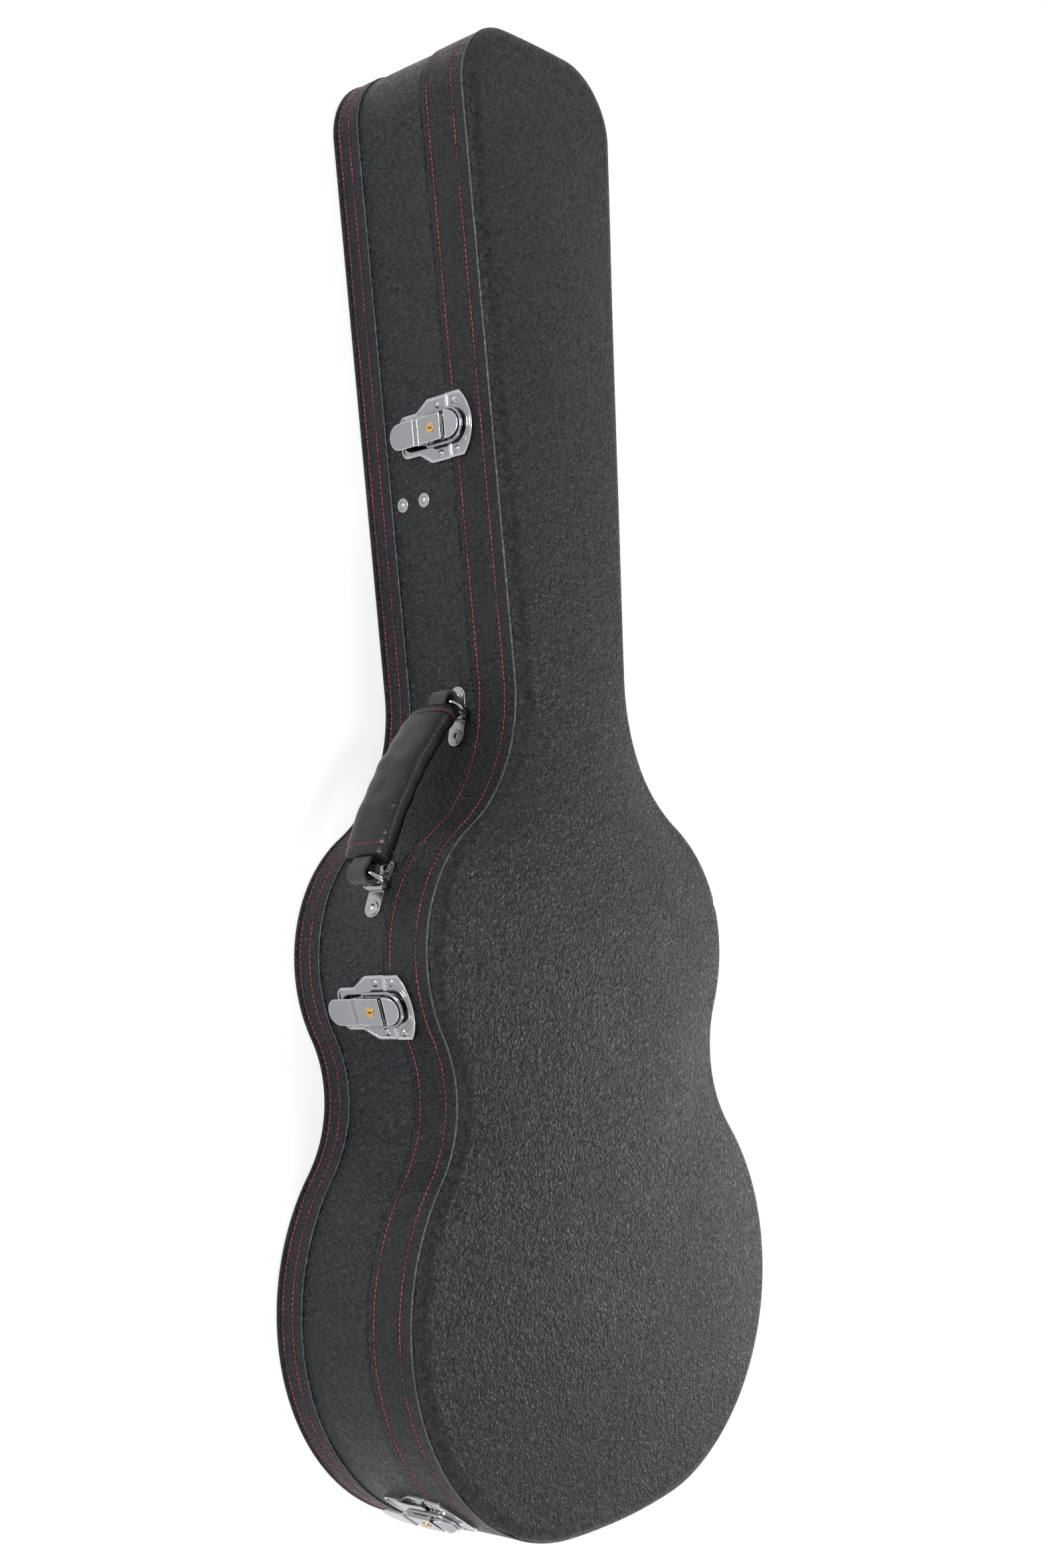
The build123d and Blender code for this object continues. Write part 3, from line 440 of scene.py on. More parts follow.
def webbingFinish():
    # Woven polypropylene webbing: matt black with a cross weave and fuzz of 0.9 mm
    finish, tree, where, skin = newFinish("woven webbing", roughness=0.8)
    skin.inputs["Sheen Weight"].default_value = 0.3
    across = node(tree, "TexWave", {"Vector": where, "Scale": 1000 / 6.0}, bands_direction="Z").outputs[1]
    fuzz = node(tree, "TexNoise", {"Vector": where, "Scale": 1000 / 0.9, "Detail": 2.0}).outputs[0]
    tone = node(tree, "ValToRGB", {"Fac": fuzz}, [(0.3, "#111214"), (0.7, "#2a2b2e")])
    tree.links.new(tone.outputs[0], skin.inputs["Base Color"])
    weave = node(tree, "Bump", {"Height": across, "Strength": 0.5, "Distance": 0.0004})
    bump = node(tree, "Bump", {"Height": fuzz, "Strength": 0.6, "Distance": 0.0004,
                               "Normal": weave.outputs[0]})
    tree.links.new(bump.outputs[0], skin.inputs["Normal"])
    return finish


plush = plushFinish()
plywood = plywoodFinish()
thread = threadFinish()
gripVinyl = gripFinish()
webbing = webbingFinish()
print("finishes made")


def makePiece(name, verts, faces, body, finish, merge=True):
    # Points in metres and faces become a smooth piece that rides on a body
    mesh = bpy.data.meshes.new(name)
    faceList = faces if isinstance(faces, list) else faces.tolist()
    mesh.from_pydata(np.asarray(verts).reshape(-1, 3), [], faceList)
    shape = bmesh.new()
    shape.from_mesh(mesh)
    if merge:
        bmesh.ops.remove_doubles(shape, verts=shape.verts, dist=1e-5)
        bmesh.ops.dissolve_degenerate(shape, edges=shape.edges, dist=1e-6)
    bmesh.ops.recalc_face_normals(shape, faces=shape.faces)
    shape.to_mesh(mesh)
    shape.free()
    mesh.polygons.foreach_set("use_smooth", [True] * len(mesh.polygons))
    mesh.materials.append(finish)
    piece = bpy.data.objects.new(name, mesh)
    bpy.context.scene.collection.objects.link(piece)
    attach(piece, body)
    return piece


waver = {"long": 60.0, "lap": 400.0}


def ringPiece(name, profile, body, finish, wobble=0.0, seed=1):
    # A closed profile of (shift, height) points carried round the outline; its outer side wavers a little
    profile = np.asarray(profile, float)
    s = wallSteps[:-1, None]
    out = np.broadcast_to(profile[:, 0], (wallCount, len(profile))).copy()
    high = np.broadcast_to(profile[:, 1], out.shape)
    if wobble:
        outer = profile[:, 0] > profile[:, 0].mean()
        turn = 2 * math.pi * s / wallLength
        along = np.broadcast_to(turn * waver["lap"], out.shape)
        out = out + wobble * outer * swell(along, high, waver["long"], seed) * 0.5
    verts = onWall(np.broadcast_to(s, out.shape), high, out)
    faces = gridFaces(wallCount, len(profile), True, True)
    return makePiece(name, verts, faces, body, finish, merge=False)


stitches = {
    "backRows": (7.2, 16.6), "lidRows": (94.0, 117.4), "pitch": 3.9, "long": 3.0, "thick": 0.75,
    "dipDeep": 0.45, "dipWide": 1.1, "sunk": 0.25,
}


def rowDip(z, rows, depth, width):
    # The thread pulls the vinyl in along each row: depth times a bell over the row
    return -sum(depth * np.exp(-((z - row) / width) ** 2) for row in rows)


def wallProfile(low, high, outer, inner, rows=(), edge=0.6, steps=40):
    # Outer side from low to high with edges rounded as quarter circles, then back down the inner side
    z = np.linspace(low, high, steps)
    nearEdge = np.clip(1 - np.minimum(z - low, high - z) / edge, 0, 1)
    soft = edge * (1 - np.sqrt(np.clip(1 - nearEdge ** 2, 0, 1)))
    out = outer - soft + rowDip(z, rows, stitches["dipDeep"], stitches["dipWide"])
    back = np.stack([np.full(2, inner), [high, low]], 1)
    return np.concatenate([np.stack([out, z], 1), back])


bodyTop = case["seam"] - case["seamGap"] / 2
lidFoot = case["seam"] + case["seamGap"] / 2
bodyProfile = wallProfile(case["cover"], bodyTop, 0.0, -case["cover"], edge=0.5, steps=36)
bodySkin = ringPiece("body_side_vinyl", bodyProfile, "body", shadedWallVinyl, 0.25, 3)
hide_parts("body_cover")
lidProfile = wallProfile(lidFoot, case["bandTop"], case["bandRaise"], -case["cover"],
                         stitches["lidRows"], 0.8, 56)
lidBand = ringPiece("lid_side_band", lidProfile, "lid", bandVinyl, 0.15, 5)
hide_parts("lid_band")
backProfile = wallProfile(case["pipingTop"], case["backBandTop"], case["bandRaise"], 0.0,
                          stitches["backRows"], 0.8, 40)
backBand = ringPiece("back_side_band", backProfile, "body", bandVinyl, 0.15, 7)
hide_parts("back_band")

# Piping: a half round at the bottom edge, and a thin cord of vinyl at the rim of each band
edgePiping = {"out": 1.8, "low": 0.5, "middle": 2.5, "high": 2.0}
turn = np.linspace(-math.pi / 2, math.pi / 2, 16)
bulgeZ = edgePiping["middle"] + edgePiping["high"] * np.sin(turn)
bulge = np.stack([edgePiping["out"] * np.cos(turn), bulgeZ], 1)
flatSide = [[0.0, case["pipingTop"]], [0.0, edgePiping["low"]]]
piping = ringPiece("back_edge_piping", np.concatenate([bulge, flatSide]), "body", bandVinyl)
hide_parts("back_piping")
bandPiping = {
    "out": 0.55,
    "pieces": (("lid_edge_piping", 127.3, 0.95, "lid"), ("back_band_piping", 25.3, 0.7, "body")),
}
turn = np.linspace(0, 2 * math.pi, 12, endpoint=False)
for name, level, thick, body in bandPiping["pieces"]:
    cord = np.stack([bandPiping["out"] + thick * np.cos(turn), level + thick * np.sin(turn)], 1)
    ringPiece(name, cord, body, pipingVinyl)
print("walls and bands made")

fill = {"spineFoot": 60.0, "spineHead": 45.0, "crowd": 0.85, "edgeSoft": 2.5, "underRows": 8, "skip": 2}
edgeTucks = {
    "places": ((-166, -125), (-197, -330), (-199, -362), (-160, -470), (-120, -510), (-64, 100), (-70, 330),
               (168, -90)),
    "wide": 3.0, "deep": 0.5, "inward": 2,
}


def tuckLine(s):
    # Small tucks where the vinyl was pulled round the edge: a bell at each place along the wall
    places = np.array([nearestStep(*p) for p in edgeTucks["places"]])
    gap = (s[:, None] - places + wallLength / 2) % wallLength - wallLength / 2
    return np.exp(-(gap / edgeTucks["wide"]) ** 2).sum(1)


def fillPiece(name, shift, topOf, lowOf, body, finish, rings=64, edge=0.0, roll=None):
    # Ribs from a spine on the middle line to the shifted outline, on a top and a bottom surface;
    # roll gives (share of the width, share of the height) down the outer side
    place = wallPoints[::fill["skip"]]
    facing = wallNormals[::fill["skip"]]
    edgePoints = place + shift * facing
    spineY = np.clip(edgePoints[:, 1], fill["spineFoot"], case["length"] - fill["spineHead"])

    def rib(t):
        # Points at the shares t of the way from the spine to the edge
        return edgePoints[:, None, 0] * t, spineY[:, None] + (edgePoints[:, 1] - spineY)[:, None] * t

    t = np.linspace(0, 1, rings) ** fill["crowd"]
    x, y = rib(t)
    near = (1 - t) * np.hypot(edgePoints[:, 0], edgePoints[:, 1] - spineY)[:, None]
    top = topOf(x, y) - edge * np.exp(-(near / fill["edgeSoft"]) ** 2)
    rows = [np.stack([x, y - case["length"] / 2, top], -1)]
    if roll is not None:
        tuck = edgeTucks["deep"] * tuckLine(np.arange(len(place)) * wallLength / len(place))[:, None]
        spread = shift + (roll["out"] - shift) * roll["wide"] - edgeTucks["inward"] * tuck * roll["wide"]
        rollX = place[:, None, 0] + spread * facing[:, None, 0]
        rollY = place[:, None, 1] + spread * facing[:, None, 1]
        rollZ = roll["low"] + (top[:, -1:] - roll["low"]) * roll["high"] - tuck * roll["high"]
        rows.append(np.stack([rollX, rollY - case["length"] / 2, rollZ], -1)[:, 1:])
    x, y = rib(np.linspace(1, 0, fill["underRows"]))
    rows.append(np.stack([x, y - case["length"] / 2, lowOf(x, y)], -1))
    verts = np.concatenate(rows, 1) * mm
    return makePiece(name, verts, gridFaces(len(place), verts.shape[1], True, False), body, finish)


lidWaves = {
    "neckFrom": 520, "neckOver": 120, "neckDeep": 0.05, "farFrom": 20, "farOver": 90, "farEnd": 640,
    "farFade": 160, "farDeep": 0.04, "acrossX": 5.0, "alongY": 0.8, "crease": 90.0, "broad": 150.0,
    "broadDeep": 0.12, "under": 0.1,
}


def lidFaceHeight(x, y):
    # The arch, with long shallow creases over the neck and the far side of the body
    w = lidWaves
    neck = ease((y - w["neckFrom"]) / w["neckOver"])
    far = ease((x - w["farFrom"]) / w["farOver"]) * ease((w["farEnd"] - y) / w["farFade"])
    crease = swell(x * w["acrossX"], y * w["alongY"], w["crease"], 11)
    broad = swell(x, y, w["broad"], 13)
    deep = w["neckDeep"] * neck + w["farDeep"] * far
    return case["top"] + archHeight(x, y) + w["broadDeep"] * broad + deep * crease


def lidFaceUnder(x, y):
    # The underside of the cover, a hair inside the board
    return case["top"] - case["cover"] + archHeight(x, y) - lidWaves["under"]


# The edge roll is part of the face's skin: an elliptical quarter round and a lip tucked into the groove
turn = np.linspace(math.radians(76), 0, 20)
rollShape = {
    "out": 0.3, "low": 128.2,
    "wide": np.concatenate([1 - (1 - np.cos(turn)) / (1 - np.cos(turn[0])), [0.97, 0.86]]),
    "high": np.concatenate([np.sin(turn) / np.sin(turn[0]), [-0.12, -0.17]]),
}
lidFace = fillPiece("lid_face_vinyl", -case["rollWide"], lidFaceHeight, lidFaceUnder, "lid",
                    faceVinyl, 72, roll=rollShape)
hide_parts("lid_cover", "lid_edge_roll")
print("lid face made")

# A stitch is a bar of five rings with six points each
barRings = 5
barSides = 6
barAngle = np.arange(barSides) * math.pi / 3


def barFaces(count):
    # The sides and both caps of every bar, each bar's points after the last one's
    size = barRings * barSides
    first = size * np.arange(count)[:, None]
    sides = (first[..., None] + gridFaces(barRings, barSides, False, True)[None]).reshape(-1, 4)
    firstCap = np.arange(barSides - 1, -1, -1)[None] + first
    lastCap = size - barSides + np.arange(barSides)[None] + first
    return sides.tolist() + firstCap.tolist() + lastCap.tolist()


def stitchRow(name, z, out, body):
    # Short rounded bars at a fixed pitch: each ring's radius is half the thickness times a rounded taper
    count = int(wallLength / stitches["pitch"])
    draw = np.random.default_rng(int(z * 10))
    middle = np.arange(count) * wallLength / count
    u = np.array([-0.5, -0.42, 0.0, 0.42, 0.5]) * stitches["long"]
    fat = np.array([0.25, 0.85, 1.0, 0.85, 0.25]) * stitches["thick"] * 0.5
    slant = draw.normal(0, 0.06, count)
    s = middle[:, None, None] + u[None, :, None] + np.zeros(barSides)
    high = z + fat[None, :, None] * np.sin(barAngle) * 1.25 + slant[:, None, None] * u[None, :, None]
    sink = -0.12 * (np.abs(u) / np.abs(u).max()) ** 2
    lift = out + fat[None, :, None] * np.cos(barAngle) + sink[None, :, None]
    verts = onWall(s, high + 0 * s, lift + 0 * s)
    makePiece(name, verts, barFaces(count), body, thread, merge=False)


stitchOut = case["bandRaise"] - stitches["sunk"]
stitchBands = (("body", "back", stitches["backRows"]), ("lid", "lid", stitches["lidRows"]))
for rowBody, rowBand, rowLevels in stitchBands:
    for k, z in enumerate(rowLevels, 1):
        stitchRow(f"{rowBand}_band_stitches_{k}", z, stitchOut, rowBody)
print("stitch rows made")

# Plush inside: walls as closed rings, floor and lid as filled shapes that bulge a little over the foam
lining = {
    "board": case["cover"] + case["ply"], "deep": case["cover"] + case["ply"] + case["lining"],
    "bodyTop": 86.8, "lidFoot": 89.2, "bulge": 0.25, "bulgeLong": 90.0,
}
inward = [-1, 1]
bodyLining = wallProfile(lining["board"], lining["bodyTop"], lining["deep"], lining["board"],
                         edge=2.0, steps=24)
bodyWallPlush = ringPiece("body_wall_plush", bodyLining * inward, "body", plush)
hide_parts("body_wall_lining")
lidLining = wallProfile(lining["lidFoot"], case["bandTop"], case["rollWide"], lining["board"],
                        edge=1.6, steps=20)
lidWallPlush = ringPiece("lid_wall_plush", lidLining * inward, "lid", plush)
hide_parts("lid_wall_lining")


def floorTop(x, y):
    # The lining's upper side plus a low bulge
    return lining["deep"] + lining["bulge"] * swell(x, y, lining["bulgeLong"], 21)


def floorUnder(x, y):
    # Level with the back board's upper side
    return lining["board"] + 0 * x


def lidPlushTop(x, y):
    # The arch less the cover and the board
    return case["top"] - lining["board"] + archHeight(x, y)


def lidPlushUnder(x, y):
    # The arch less the cover, the board and the lining, plus a low bulge
    bulge = lining["bulge"] * swell(x, y, lining["bulgeLong"], 23)
    return case["top"] - lining["board"] - case["lidLining"] + archHeight(x, y) + bulge


floorPlush = fillPiece("floor_plush", -lining["deep"], floorTop, floorUnder, "body", plush, 40, 1.2)
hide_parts("body_floor_lining")
lidPlush = fillPiece("lid_plush", -case["rollWide"], lidPlushTop, lidPlushUnder, "lid", plush, 40)
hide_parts("lid_top_lining")


def softCopy(name, source, body, finish, voxel, rounds):
    # A merged copy of a solid, remeshed in small cells and smoothed so that its edges go soft
    mesh = cadNodes[source].data.copy()
    shape = bmesh.new()
    shape.from_mesh(mesh)
    bmesh.ops.remove_doubles(shape, verts=shape.verts, dist=1e-5)
    shape.to_mesh(mesh)
    shape.free()
    piece = bpy.data.objects.new(name, mesh)
    bpy.context.scene.collection.objects.link(piece)
    cells = piece.modifiers.new("cells", "REMESH")
    cells.mode = "VOXEL"
    cells.voxel_size = voxel * mm
    blur = piece.modifiers.new("blur", "SMOOTH")
    blur.factor = 0.5
    blur.iterations = rounds
    graph = bpy.context.evaluated_depsgraph_get()
    baked = bpy.data.meshes.new_from_object(piece.evaluated_get(graph))
    piece.modifiers.clear()
    piece.data = baked
    baked.name = name
    baked.polygons.foreach_set("use_smooth", [True] * len(baked.polygons))
    baked.materials.clear()
    baked.materials.append(finish)
    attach(piece, body)
    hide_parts(source)
    return piece


cradle = softCopy("neck_cradle_plush", "neck_cradle", "body", plush, 2.0, 6)
print("plush inside made")

# The handle: a frame at the lower ring's tip, along the two tips, and outwards
handle = {
    "z": 73.0, "firstBar": (-152.805, -69.277), "lastBar": (-63.045, 49.807), "ringTurn": 2.4957,
    "ringDepth": 17.0, "gripEnd": 9.0, "wide": 39.0, "thick": 17.5, "bow": 7.4, "boxPower": 3.2,
    "loopRadius": 6.9, "loopThick": 2.2, "loopWide": 15.0, "loopBack": 1.8, "loopHug": 8.0,
    "legApart": 3.4, "legHidden": 3.0, "ribs": 5, "ribHigh": 0.32,
    "stitchIn": 8.0, "stitchPitch": 3.2, "stitchLong": 2.4, "stitchThick": 0.48, "stitchAt": 0.95,
    "endPull": 0.09, "endReach": 4.0, "seamPull": 0.05, "seamWide": 1.3, "lipPull": 0.35, "lipLong": 1.2,
    "foldFrom": 9, "foldOver": 8, "foldDeep": 0.16, "waveDeep": 0.28, "ridges": ((62, 0.35), (118, 0.3)),
}
ringRay = np.array([math.cos(handle["ringTurn"]), math.sin(handle["ringTurn"])])
firstTip = np.array(handle["firstBar"]) + handle["ringDepth"] * ringRay
lastTip = np.array(handle["lastBar"]) + handle["ringDepth"] * ringRay
gripSpan = np.hypot(*(lastTip - firstTip))
gripAlong = (lastTip - firstTip) / gripSpan
gripOut = np.array([-gripAlong[1], gripAlong[0]])


def onHandle(a, b, z):
    # World point at a along the handle, b outwards and z up from its middle plane
    x = firstTip[0] + a * gripAlong[0] + b * gripOut[0]
    y = firstTip[1] + a * gripAlong[1] + b * gripOut[1]
    return np.stack([x, y, handle["z"] + z + 0 * x], -1) * mm


def gripBow(a):
    # A circular arc through both ends of the sleeve, bow high in the middle
    half = gripSpan / 2 - handle["gripEnd"]
    radius = (half ** 2 + handle["bow"] ** 2) / (2 * handle["bow"])
    return handle["bow"] - radius + np.sqrt(np.maximum(radius ** 2 - (a - gripSpan / 2) ** 2, 0))


def roundedBox(angle):
    # A point of the box |b|^n + |z|^n = 1 at each angle: sign(cos) |cos|^(2/n), sign(sin) |sin|^(2/n)
    power = 2 / handle["boxPower"]
    unitB = np.sign(np.cos(angle)) * np.abs(np.cos(angle)) ** power
    unitZ = np.sign(np.sin(angle)) * np.abs(np.sin(angle)) ** power
    return unitB, unitZ


def makeGrip():
    # The rounded box carried along the bow, pulled in at the ends and the seams and wrinkled on its ridges
    rows = 220
    cols = 120
    t = np.linspace(0, 1, rows)
    low = handle["gripEnd"]
    high = gripSpan - handle["gripEnd"]
    a = low + (high - low) * t
    close = np.minimum(t, 1 - t) * (high - low)
    taper = 1 - handle["endPull"] * np.exp(-close / handle["endReach"])
    taper -= handle["seamPull"] * np.exp(-((close - handle["stitchIn"]) / handle["seamWide"]) ** 2)
    taper *= 1 - handle["lipPull"] * np.clip(1 - close / handle["lipLong"], 0, 1) ** 2
    angle = np.arange(cols) * 2 * math.pi / cols
    unitB, unitZ = roundedBox(angle)
    ridge = sum(np.exp(-((angle - math.radians(at)) / wide) ** 2) for at, wide in handle["ridges"])
    inside = np.clip((close - handle["foldFrom"]) / handle["foldOver"], 0, 1)
    crumple = swell(a[:, None] * 4.2, angle[None] * 26.0, 22.0, 31)
    crumple = crumple + 0.7 * swell(a[:, None] * 9.0, angle[None] * 30.0, 26.0, 33)
    wave = handle["waveDeep"] * swell(a[:, None], angle[None] * 11.0, 24.0, 35)
    fold = inside[:, None] * (handle["foldDeep"] * ridge[None] * crumple + wave)
    b = (handle["thick"] / 2 * taper[:, None] + fold) * unitB[None] + gripBow(a)[:, None]
    z = (handle["wide"] / 2 * taper[:, None] + fold) * unitZ[None]
    verts = onHandle(np.broadcast_to(a[:, None], b.shape), b, z)
    endVerts = onHandle(np.array([low, high]), gripBow(np.array([low, high])), np.zeros(2))
    count = rows * cols
    last = count - cols
    j = np.arange(cols)
    firstFan = np.stack([np.full(cols, count), (j + 1) % cols, j], 1)
    lastFan = np.stack([np.full(cols, count + 1), last + j, last + (j + 1) % cols], 1)
    faces = gridFaces(rows, cols, False, True).tolist() + firstFan.tolist() + lastFan.tolist()
    piece = makePiece("handle_sleeve", np.concatenate([verts.reshape(-1, 3), endVerts]), faces, "grip",
                      gripVinyl, merge=False)
    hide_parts("handle_grip")


makeGrip()


def makeLoops():
    # Webbing from the sleeve round each ring's bow: an eye of loopRadius with two tangent legs, ribbed across
    allVerts = []
    allFaces = []
    across = np.linspace(-0.5, 0.5, 31)
    rib = handle["ribHigh"] * np.abs(np.sin(across * math.pi * handle["ribs"])) ** 0.7
    half = handle["loopThick"] / 2
    section = np.concatenate([half + rib - 0.3, -half + 0 * across])
    wide = np.concatenate([across, across[::-1]]) * handle["loopWide"]
    turn = np.linspace(math.radians(78), math.radians(282), 60)
    eyeA = handle["loopRadius"] * np.cos(turn)
    eyeB = handle["loopRadius"] * np.sin(turn)
    leg = np.linspace(1, 0, 14)[:-1]
    endA = handle["gripEnd"] + handle["legHidden"]
    endB = handle["legApart"]
    back = leg[::-1]
    pathA = np.concatenate([eyeA[0] + (endA - eyeA[0]) * leg, eyeA, eyeA[-1] + (endA - eyeA[-1]) * back])
    pathB = np.concatenate([eyeB[0] + (endB - eyeB[0]) * leg, eyeB, eyeB[-1] + (-endB - eyeB[-1]) * back])
    alongA = np.gradient(pathA)
    alongB = np.gradient(pathB)
    size = np.hypot(alongA, alongB)
    outward = -np.sign(alongB[len(pathA) // 2])
    a = pathA[:, None] + outward * (alongB / size)[:, None] * section[None]
    b = pathB[:, None] - outward * (alongA / size)[:, None] * section[None]
    z = np.broadcast_to(wide, a.shape)
    hug = handle["loopBack"] * np.exp(-(a / handle["loopHug"]) ** 2)
    rows, cols = a.shape
    for k, (side, origin) in enumerate(((1, 0.0), (-1, gripSpan))):
        start = k * rows * cols
        last = start + (rows - 1) * cols
        allVerts.append(onHandle(origin + side * a, b - hug, z).reshape(-1, 3))
        allFaces += gridFaces(rows, cols, False, True, start).tolist()
        allFaces += [list(range(start + cols - 1, start - 1, -1)), list(range(last, last + cols))]
    piece = makePiece("handle_webbing_loops", np.concatenate(allVerts), allFaces, "grip", webbing,
                      merge=False)
    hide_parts("handle_webbing")


makeLoops()


def sleeveStitches(name, a):
    # Red bars round the sleeve's section at one place along it
    unitB, unitZ = roundedBox(np.linspace(0, 2 * math.pi, 721))
    b = handle["thick"] / 2 * handle["stitchAt"] * unitB
    z = handle["wide"] / 2 * handle["stitchAt"] * unitZ
    length = np.concatenate([[0], np.cumsum(np.hypot(np.diff(b), np.diff(z)))])
    count = int(length[-1] / handle["stitchPitch"])
    u = np.array([-0.5, -0.4, 0.0, 0.4, 0.5]) * handle["stitchLong"]
    fat = np.array([0.3, 0.9, 1.0, 0.9, 0.3]) * handle["stitchThick"] / 2
    s = (np.arange(count)[:, None] * length[-1] / count + u[None]) % length[-1]
    centreB = np.interp(s, length, b)
    centreZ = np.interp(s, length, z)
    size = np.hypot(centreB, centreZ)
    grow = 1 + fat[None, :, None] * np.cos(barAngle) / size[..., None]
    verts = onHandle(a + fat[None, :, None] * np.sin(barAngle) + 0 * grow,
                     centreB[..., None] * grow + gripBow(np.array(a)), centreZ[..., None] * grow)
    makePiece(name, verts, barFaces(count), "grip", thread, merge=False)


stitchFrom = handle["gripEnd"] + handle["stitchIn"]
sleeveStitches("handle_stitches_1", stitchFrom)
sleeveStitches("handle_stitches_2", gripSpan - stitchFrom)
print("handle made")

# Pressed ribs on the catch plates: tubes half sunk into the plate, round the horn's end
latches = {
    "places": ((-139.935, -494.994), (-162.959, -150.755), (-70.086, 252.922)),
    "catchSeat": 2.8, "ribRadii": (15.0, 17.2), "ribThick": 0.75, "ribFlat": 0.8, "ribSunk": 0.1,
    "eyeRise": 3.3, "ribSteps": 60, "ribSides": 10, "ribFade": 4,
}


def pressedRibs(index, place):
    # Path: a half circle of radius r over the horn's end with two short legs, as arc length and height
    middle = nearestStep(*place)
    steps = latches["ribSteps"]
    sides = latches["ribSides"]
    allVerts = []
    allFaces = []
    for k, radius in enumerate(latches["ribRadii"]):
        turn = np.linspace(math.radians(-8), math.radians(188), steps)
        pathA = radius * np.cos(turn)
        pathZ = case["seam"] + latches["eyeRise"] + radius * np.sin(turn)
        alongA = np.gradient(pathA)
        alongZ = np.gradient(pathZ)
        size = np.hypot(alongA, alongZ)
        fromEnd = np.minimum(np.arange(steps), steps - 1 - np.arange(steps))
        taper = np.clip(fromEnd / latches["ribFade"], 0.05, 1)
        ring = np.arange(sides) * 2 * math.pi / sides
        r = latches["ribThick"] * taper[:, None]
        a = pathA[:, None] + (alongZ / size)[:, None] * r * np.cos(ring)
        z = pathZ[:, None] - (alongA / size)[:, None] * r * np.cos(ring)
        out = latches["catchSeat"] - latches["ribSunk"] + r * latches["ribFlat"] * np.sin(ring)
        start = steps * sides * k
        last = start + (steps - 1) * sides
        allVerts.append(onWall(middle + a, z, out).reshape(-1, 3))
        allFaces += gridFaces(steps, sides, False, True, start).tolist()
        allFaces += [list(range(start + sides - 1, start - 1, -1)), list(range(last, last + sides))]
    makePiece(f"latch_press_ribs_{index}", np.concatenate(allVerts), allFaces, "lid", chrome,
              merge=False)


for index, place in enumerate(latches["places"], 1):
    pressedRibs(index, place)
print("latch ribs made")

# Finishes of the solids that stay
solidFinish = {
    "chrome": chrome, "nickel": nickel, "brass": brass, "plywood": plywood, "plush": plush,
    "vinyl": shadedWallVinyl, "vinyl_band": bandVinyl, "webbing": webbing, "grip_leather": gripVinyl,
}
slotOf = {part["node"]: part["material_slot"] for part in frame["record"]["subparts"]}
for name, solid in cadNodes.items():
    for spot in solid.material_slots:
        spot.material = solidFinish[slotOf[name]]
print("solids finished")

# Floor and surroundings: white for the camera and in reflections, a dimmer light for the rest
stage = {"floorSize": 9.0, "floorDrop": 0.0004, "white": "#f2f2f2", "cameraGlow": 0.6, "skyLight": 0.3}


def seenPlainly(tree):
    # The sum of three ray kinds: 1 for camera, mirror-like and see-through rays, 0 for the light that
    # falls on things
    path = node(tree, "LightPath")
    seen = node(tree, "Math", {0: path.outputs["Is Camera Ray"], 1: path.outputs["Is Glossy Ray"]},
                operation="ADD")
    return node(tree, "Math", {0: seen.outputs[0], 1: path.outputs["Is Transmission Ray"]},
                operation="ADD").outputs[0]


def paleFloor():
    # Matt paper sweep: it is lit by the lamps and keeps shadows, and glows a little where it is seen
    mesh = bpy.data.meshes.new("floor")
    half = stage["floorSize"] / 2
    corners = [(-half, -half, 0), (half, -half, 0), (half, half, 0), (-half, half, 0)]
    mesh.from_pydata(corners, [], [(0, 1, 2, 3)])
    floor = bpy.data.objects.new("floor", mesh)
    floor.location.z = -stage["floorDrop"]
    bpy.context.scene.collection.objects.link(floor)
    finish = bpy.data.materials.new("matt white paper")
    finish.use_nodes = True
    tree = finish.node_tree
    tree.nodes.clear()
    power = node(tree, "Math", {0: seenPlainly(tree), 1: stage["cameraGlow"]}, operation="MULTIPLY")
    paper = node(tree, "BsdfDiffuse", {"Color": toLinear(stage["white"])})
    glow = node(tree, "Emission", {"Color": (1, 1, 1, 1), "Strength": power.outputs[0]})
    both = node(tree, "AddShader", {0: paper.outputs[0], 1: glow.outputs[0]})
    node(tree, "OutputMaterial", {"Surface": both.outputs[0]})
    mesh.materials.append(finish)


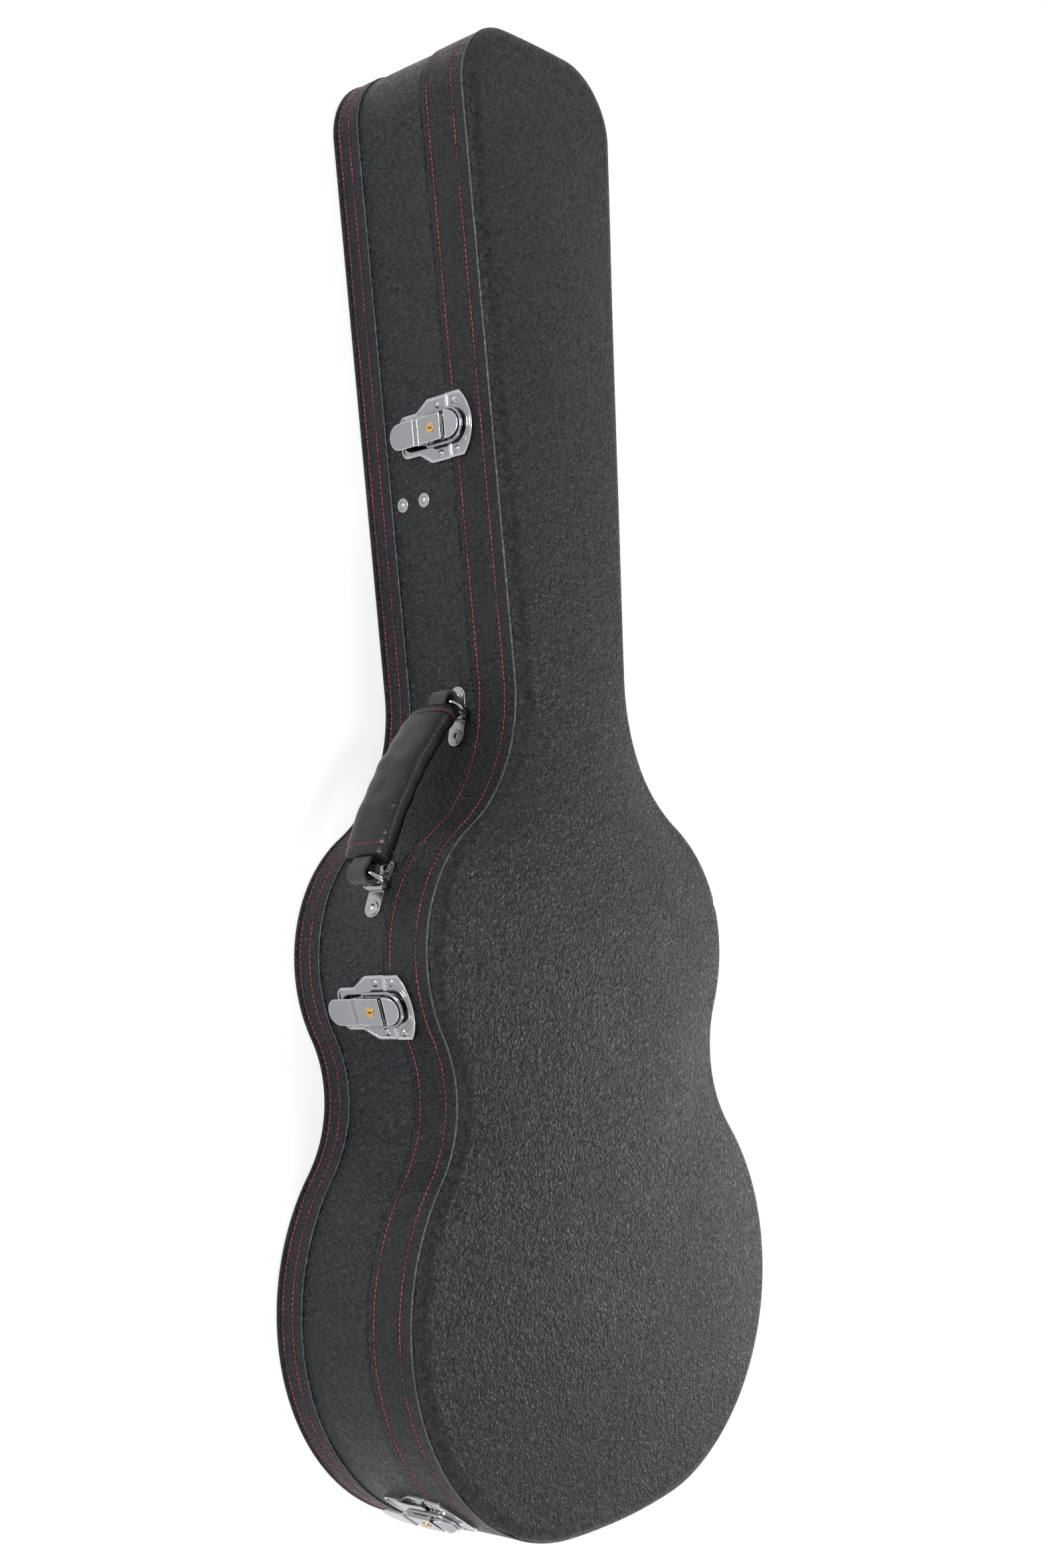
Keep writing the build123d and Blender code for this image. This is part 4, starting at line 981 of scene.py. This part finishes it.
def surroundings():
    # The world: white where the camera or a reflection sees it, and a dimmer even light elsewhere
    world = bpy.data.worlds.new("studio")
    bpy.context.scene.world = world
    world.use_nodes = True
    tree = world.node_tree
    tree.nodes.clear()
    power = node(tree, "MapRange", {"Value": seenPlainly(tree), "To Min": stage["skyLight"], "To Max": 1.0})
    sky = node(tree, "Background", {"Color": (1, 1, 1, 1), "Strength": power.outputs[0]})
    node(tree, "OutputWorld", {"Surface": sky.outputs[0]})


paleFloor()
surroundings()

# Soft lamps aimed at the middle of the case: sizes in metres
lamps = {
    "lid side": {"at": (2.2, -0.6, 0.95), "size": (0.9, 0.9), "watts": 23.0},
    "overhead": {"at": (0.5, 0.9, 2.6), "size": (0.8, 0.8), "watts": 12.0},
    "latch side": {"at": (-2.1, 0.5, 0.5), "size": (0.6, 0.6), "watts": 34.0},
    "foot": {"at": (-0.6, -2.2, 1.4), "size": (0.9, 0.6), "watts": 12.0},
}
lampAim = Vector((0, 0, 0.1))
for name, lamp in lamps.items():
    light = bpy.data.lights.new(name, "AREA")
    light.shape = "RECTANGLE"
    light.size, light.size_y = lamp["size"]
    light.energy = lamp["watts"]
    carrier = bpy.data.objects.new(name, light)
    carrier.location = lamp["at"]
    carrier.rotation_euler = (lampAim - Vector(lamp["at"])).to_track_quat("-Z", "Y").to_euler()
    bpy.context.scene.collection.objects.link(carrier)

# The camera: its place, its axes and its lens were fitted to lines in the photograph
eye = {
    "at": (-1.0454, -0.0957, 0.9580), "right": (0.6471, -0.0581, 0.7602), "down": (-0.0342, -0.9983, -0.0472),
    "focal": 2797.0, "frameHigh": 2361.0, "middleY": 1369.1, "film": 36.0,
}
camera = bpy.data.cameras.new("camera")
camera.sensor_fit = "VERTICAL"
camera.sensor_height = eye["film"]
camera.lens = eye["focal"] / eye["frameHigh"] * eye["film"]
camera.shift_y = (eye["middleY"] - eye["frameHigh"] / 2) / eye["frameHigh"]
camera.clip_start = 0.05
right = Vector(eye["right"]).normalized()
up = -Vector(eye["down"])
up = (up - up.dot(right) * right).normalized()
back = right.cross(up)
viewer = bpy.data.objects.new("camera", camera)
axes = Matrix([[right[k], up[k], back[k]] for k in range(3)])
viewer.matrix_world = Matrix.Translation(eye["at"]) @ axes.to_4x4()
bpy.context.scene.collection.objects.link(viewer)
bpy.context.scene.camera = viewer
bpy.context.scene.view_settings.view_transform = "Standard"
print("stage, lamps and camera set")
